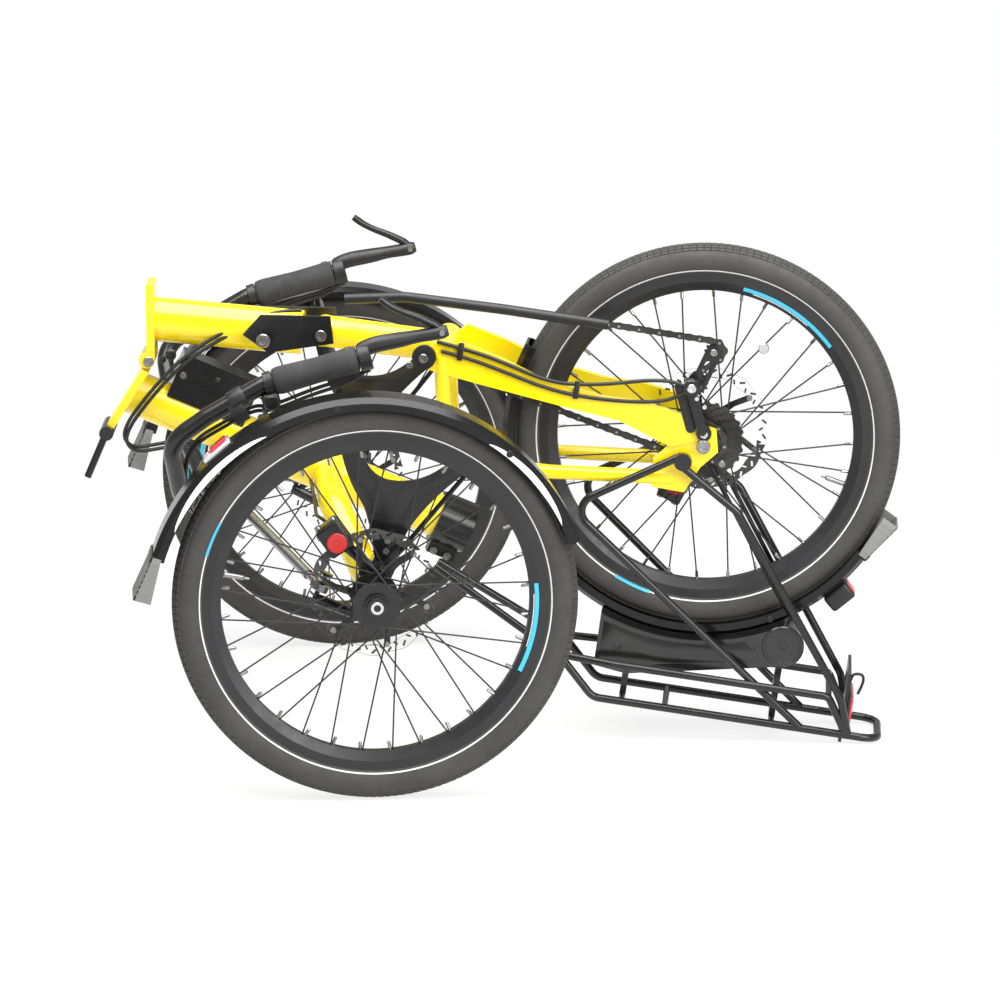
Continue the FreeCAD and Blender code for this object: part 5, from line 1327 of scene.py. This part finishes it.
def makeBarCables(word, side):
    # The brake and shift cables held under the bar.
    start, end, run, over = barEnd(side)
    first, last = barPoint(side, 1), barPoint(side, 2)
    pieces = []
    for offset in (0.0, 0.0060):
        low = 0.0205 + offset
        spots = [end - run * 0.010 - over * 0.0165, end - run * 0.030 - over * low, end - run * 0.075 - over * low,
                 start - over * (low + 0.008)]
        spots += [sidePoint(x, side * out, z - offset) for x, out, z in (
            (-0.1410, 0.286, 0.4700), (-0.1780, 0.283, 0.4480), (-0.2120, 0.280, 0.4280), (-0.2260, 0.268, 0.3960))]
        spots.append(last + Vector((0.004 + offset, 0, -0.0145)))
        spots.append(first.lerp(last, 0.45) + Vector((offset, 0, -0.0140)))
        spots.append(first.lerp(last, 0.12) + Vector((offset, 0, -0.0125)))
        pieces.append(wired("bar_cable", spots, 0.0023))
    tie = [(0.0111, 0), (0.0122, 0), (0.0122, 0.0040), (0.0111, 0.0040)]
    for share in (0.25, 0.75):
        pieces.append(lathed("bar_tie", tie, 32, "black_plastic",
                             runFrame(first.lerp(last, share), last - first, Vector((1, 0, 0))), ring=True))
    dressed("bar_cables_" + word, pieces, worldFrame, "handlebar", "cable_black")


caliperLine = [(0.050, -0.0628, 0.3230), (0.110, -0.0628, 0.3230), (0.165, -0.0630, 0.3225),
               (0.215, -0.0640, 0.3190), (0.262, -0.0650, 0.3250), (0.292, -0.0560, 0.3260),
               (0.3080, -0.0470, 0.3180)]


def makeCaliperCable(word, side):
    # From the cross-member's back over the kingpin to the caliper's arm.
    spots = [sidePoint(x, side * out, z) for out, x, z in caliperLine]
    cap = [(0, -0.009), (0.0031, -0.009), (0.0035, -0.008), (0.0035, 0.001), (0.0026, 0.002), (0, 0.002)]
    piece = joined("caliper_cable_" + word, [
        wired("caliper_cable", spots, 0.0023),
        lathed("cable_cap", cap, 16, "steel", lookAlong(spots[-1], spots[-1] - spots[-2]))])
    "knuckle_" + word
    tuple(sidePoint(-0.063, side * 0.205, 0.320))
    tuple(sidePoint(-0.058, side * 0.290, 0.325))
    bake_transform(piece)


for word, side in sides.items():
    makeStayPlate(word, side)
    makeBarCables(word, side)
    makeCaliperCable(word, side)
makeFrontBolts()
makeHingeKnobs()
makeFoldCables()
print("front frame dressed")


# Battery panels and lock, the rack's reflector and hook, the rear caliper's cable and the spoke disc

batterySetup = {
    "half": 0.040,
    "tail": (-0.136, 0.2467),
    "lock": (0.0700, 0.2800),
    "panel": [(0.0915, 0.2478), (0.060, 0.2562), (0.030, 0.2612), (0.0, 0.2628), (-0.030, 0.2612), (-0.060, 0.2562),
              (-0.088, 0.2478), (-0.103, 0.2560), (-0.108, 0.2690), (0.020, 0.2945), (0.0540, 0.3062),
              (0.0915, 0.3020)],
    "cap": [(0, 0), (0.0262, 0), (0.0262, 0.0010), (0.0250, 0.0022), (0.0225, 0.0024), (0.0220, 0.0016),
            (0.0060, 0.0016), (0.0056, 0.0026), (0.0030, 0.0026), (0.0028, 0.0010), (0, 0.0010)],
}


def batteryFace(place, side, lift=0.0):
    return lookAlong((place[0], side * (batterySetup["half"] + lift), place[1]), (0, side, 0))


def makeBatteryTrim():
    setup = batterySetup
    pieces = []
    for side in (-1, 1):
        pieces.append(plated("battery_panel", [setup["panel"]], 0.0024, "battery_gloss",
                             shiftBy(0, side * (setup["half"] + 0.0002), 0), bevel=0.0010))
        pieces.append(lathed("battery_cap", setup["cap"], 56, "battery_gloss", batteryFace(setup["tail"], side)))
        pieces.append(bolted("battery_lock", 0.0048, 0.0022, batteryFace(setup["lock"], side, 0.0012),
                             "black_metal", 20))
    dressed("battery_trim", pieces, rearFrame, "rear_section", "black_plastic")


def makeRackTail():
    # The reflector on the rack's end plate, with the wire hook above it.
    hook = [(-0.2268, -0.034, 0.2900), (-0.2272, -0.034, 0.2720), (-0.2350, -0.034, 0.2685),
            (-0.2430, -0.034, 0.2700), (-0.2436, -0.034, 0.2820), (-0.2390, -0.034, 0.2950)]
    pieces = [
        boxed("reflector_back", (0.0050, 0.0880, 0.0420), 0.0016, "black_plastic", shiftBy(-0.2293, 0, 0.3180)),
        boxed("reflector_face", (0.0044, 0.0800, 0.0350), 0.0018, "red_lens", shiftBy(-0.2330, 0, 0.3180)),
        wired("rack_hook", hook, 0.0019, "black_metal")]
    pieces += [bolted("bolt", 0.0038, 0.0026, lookAlong((-0.2268, across, 0.3465), (-1, 0, 0)))
               for across in (-0.040, 0.040)]
    dressed("rack_tail", pieces, rearFrame, "rear_section", "black_metal")


def makeRearBrakeCable():
    # Along the left stay's outer face to the rear caliper.
    side = stayCables["side"] + 0.0026
    spots = [stayPoint(ahead, up, side) for ahead, up in stayCables["brake"]]
    spots += [(0.050, side, -0.004), (0.040, side - 0.001, 0.026), (0.020, 0.0640, 0.058), (0.000, 0.0610, 0.078)]
    pieces = [wired("brake_cable", spots, 0.0024)]
    for ahead, up in ((0.88, -1.03), (0.50, -0.59)):
        pieces.append(boxed("cable_clip", (0.007, 0.0075, 0.012), 0.0014, "black_plastic",
                            Matrix.Translation(stayPoint(ahead, up, side - 0.0008))))
    dressed("rear_brake_cable", pieces, rearFrame, "rear_section", "cable_black")


def makeSpokeDisc():
    # A small bright disc clipped on the rear wheel's spoke nearest the place.
    spots = [foot.lerp(head, 0.665) for foot, head in (spokeLine(index, 1) for index in range(rimSetup["holes"]))]
    spot = min(spots, key=lambda spot: abs((math.degrees(math.atan2(spot.z, spot.x)) + 239.3) % 360.0 - 180.0))
    piece = lathed("spoke_disc", drum(0.0066, -0.0026, 0.0026, 0.0008, 0.0008), 28, "bright_metal",
                   wheelFrames["rear"] @ Matrix.Translation(spot))
    fitted(piece, "wheel_rear", "steel")


makeBatteryTrim()
makeRackTail()
makeRearBrakeCable()
makeSpokeDisc()
print("battery, rack and rear brake dressed")


# Stage, lights and camera

stageSetup = {
    "floorSize": 60.0,
    "floorHeight": -0.0004,
    "floorShare": 0.80,
    "shadowReach": 0.8,
    "whiteReach": 2.4,
    "world": 0.40,
    "aim": (0, 0, 0.25),
    "lamps": [("lamp_top", (-0.2, -0.5, 2.6), 135.0, 2.6), ("lamp_side", (1.6, -2.6, 1.7), 80.0, 2.0)],
}


def makeFloor():
    # White to the camera, with the part's shadow where it stands.
    setup = stageSetup
    deselect()
    bpy.ops.mesh.primitive_plane_add(size=setup["floorSize"], location=(0, 0, setup["floorHeight"]))
    floor = named("studio_floor")
    finish = Finish("studio_floor")
    finish.give(Base_Color=(0.92, 0.92, 0.92), Roughness=0.9)
    seen = finish.node("ShaderNodeLightPath", {}, [], "Is Camera Ray")
    mirrored = finish.node("ShaderNodeLightPath", {}, [], "Is Glossy Ray")
    away = finish.node("ShaderNodeVectorMath", {"operation": "LENGTH"}, [finish.place()], "Value")
    glowShare = finish.between(away, setup["shadowReach"], setup["whiteReach"], setup["floorShare"], 1.0)
    glow = finish.node("ShaderNodeEmission", {}, {"Strength": 1.0})
    mixed = finish.node("ShaderNodeMixShader", {}, [seen.math("MAXIMUM", mirrored) * glowShare,
                                                    Wire(finish, finish.shader.outputs[0]), glow])
    finish.tree.links.new(mixed.socket, finish.tree.nodes["Material Output"].inputs[0])
    floor.data.materials.append(finish.material)


def makeWorld():
    # Pure white to the camera, dimmer as a light.
    world = bpy.context.scene.world or bpy.data.worlds.new("studio")
    bpy.context.scene.world = world
    world.use_nodes = True
    sky = world.node_tree
    sky.nodes.clear()
    output = sky.nodes.new("ShaderNodeOutputWorld")
    path = sky.nodes.new("ShaderNodeLightPath")
    most = sky.nodes.new("ShaderNodeMath")
    most.operation = "MAXIMUM"
    sky.links.new(path.outputs["Is Camera Ray"], most.inputs[0])
    sky.links.new(path.outputs["Is Transmission Ray"], most.inputs[1])
    mixer = sky.nodes.new("ShaderNodeMixShader")
    sky.links.new(most.outputs[0], mixer.inputs[0])
    for index, strength in ((1, stageSetup["world"]), (2, 1.0)):
        back = sky.nodes.new("ShaderNodeBackground")
        back.inputs[0].default_value = (1, 1, 1, 1)
        back.inputs[1].default_value = strength
        sky.links.new(back.outputs[0], mixer.inputs[index])
    sky.links.new(mixer.outputs[0], output.inputs[0])


def makeLamps():
    for name, spot, power, size in stageSetup["lamps"]:
        bpy.ops.object.light_add(type="AREA", location=spot)
        lamp = bpy.context.object
        lamp.name = name
        lamp.data.energy = power
        lamp.data.size = size
        lamp.rotation_euler = (Vector(stageSetup["aim"]) - Vector(spot)).to_track_quat("-Z", "Y").to_euler()


cameraSetup = {
    "ahead": -0.3135,
    "aside": -5.977,
    "height": 1.633,
    "down": 12.698,
    "right": 4.733,
    "lens": 172.8,
    "sensor": 36.0,
    "clipEnd": 100.0,
}


def makeCamera():
    setup = cameraSetup
    bpy.ops.object.camera_add(location=(setup["ahead"] + layout["axleBack"], setup["aside"], setup["height"]),
                              rotation=(math.radians(90 - setup["down"]), 0, math.radians(-setup["right"])))
    camera = bpy.context.object
    camera.name = "view_camera"
    camera.data.sensor_width = setup["sensor"]
    camera.data.lens = setup["lens"]
    camera.data.clip_end = setup["clipEnd"]
    bpy.context.scene.camera = camera


makeFloor()
makeWorld()
makeLamps()
makeCamera()
bpy.context.scene.view_settings.view_transform = "Standard"
deselect()
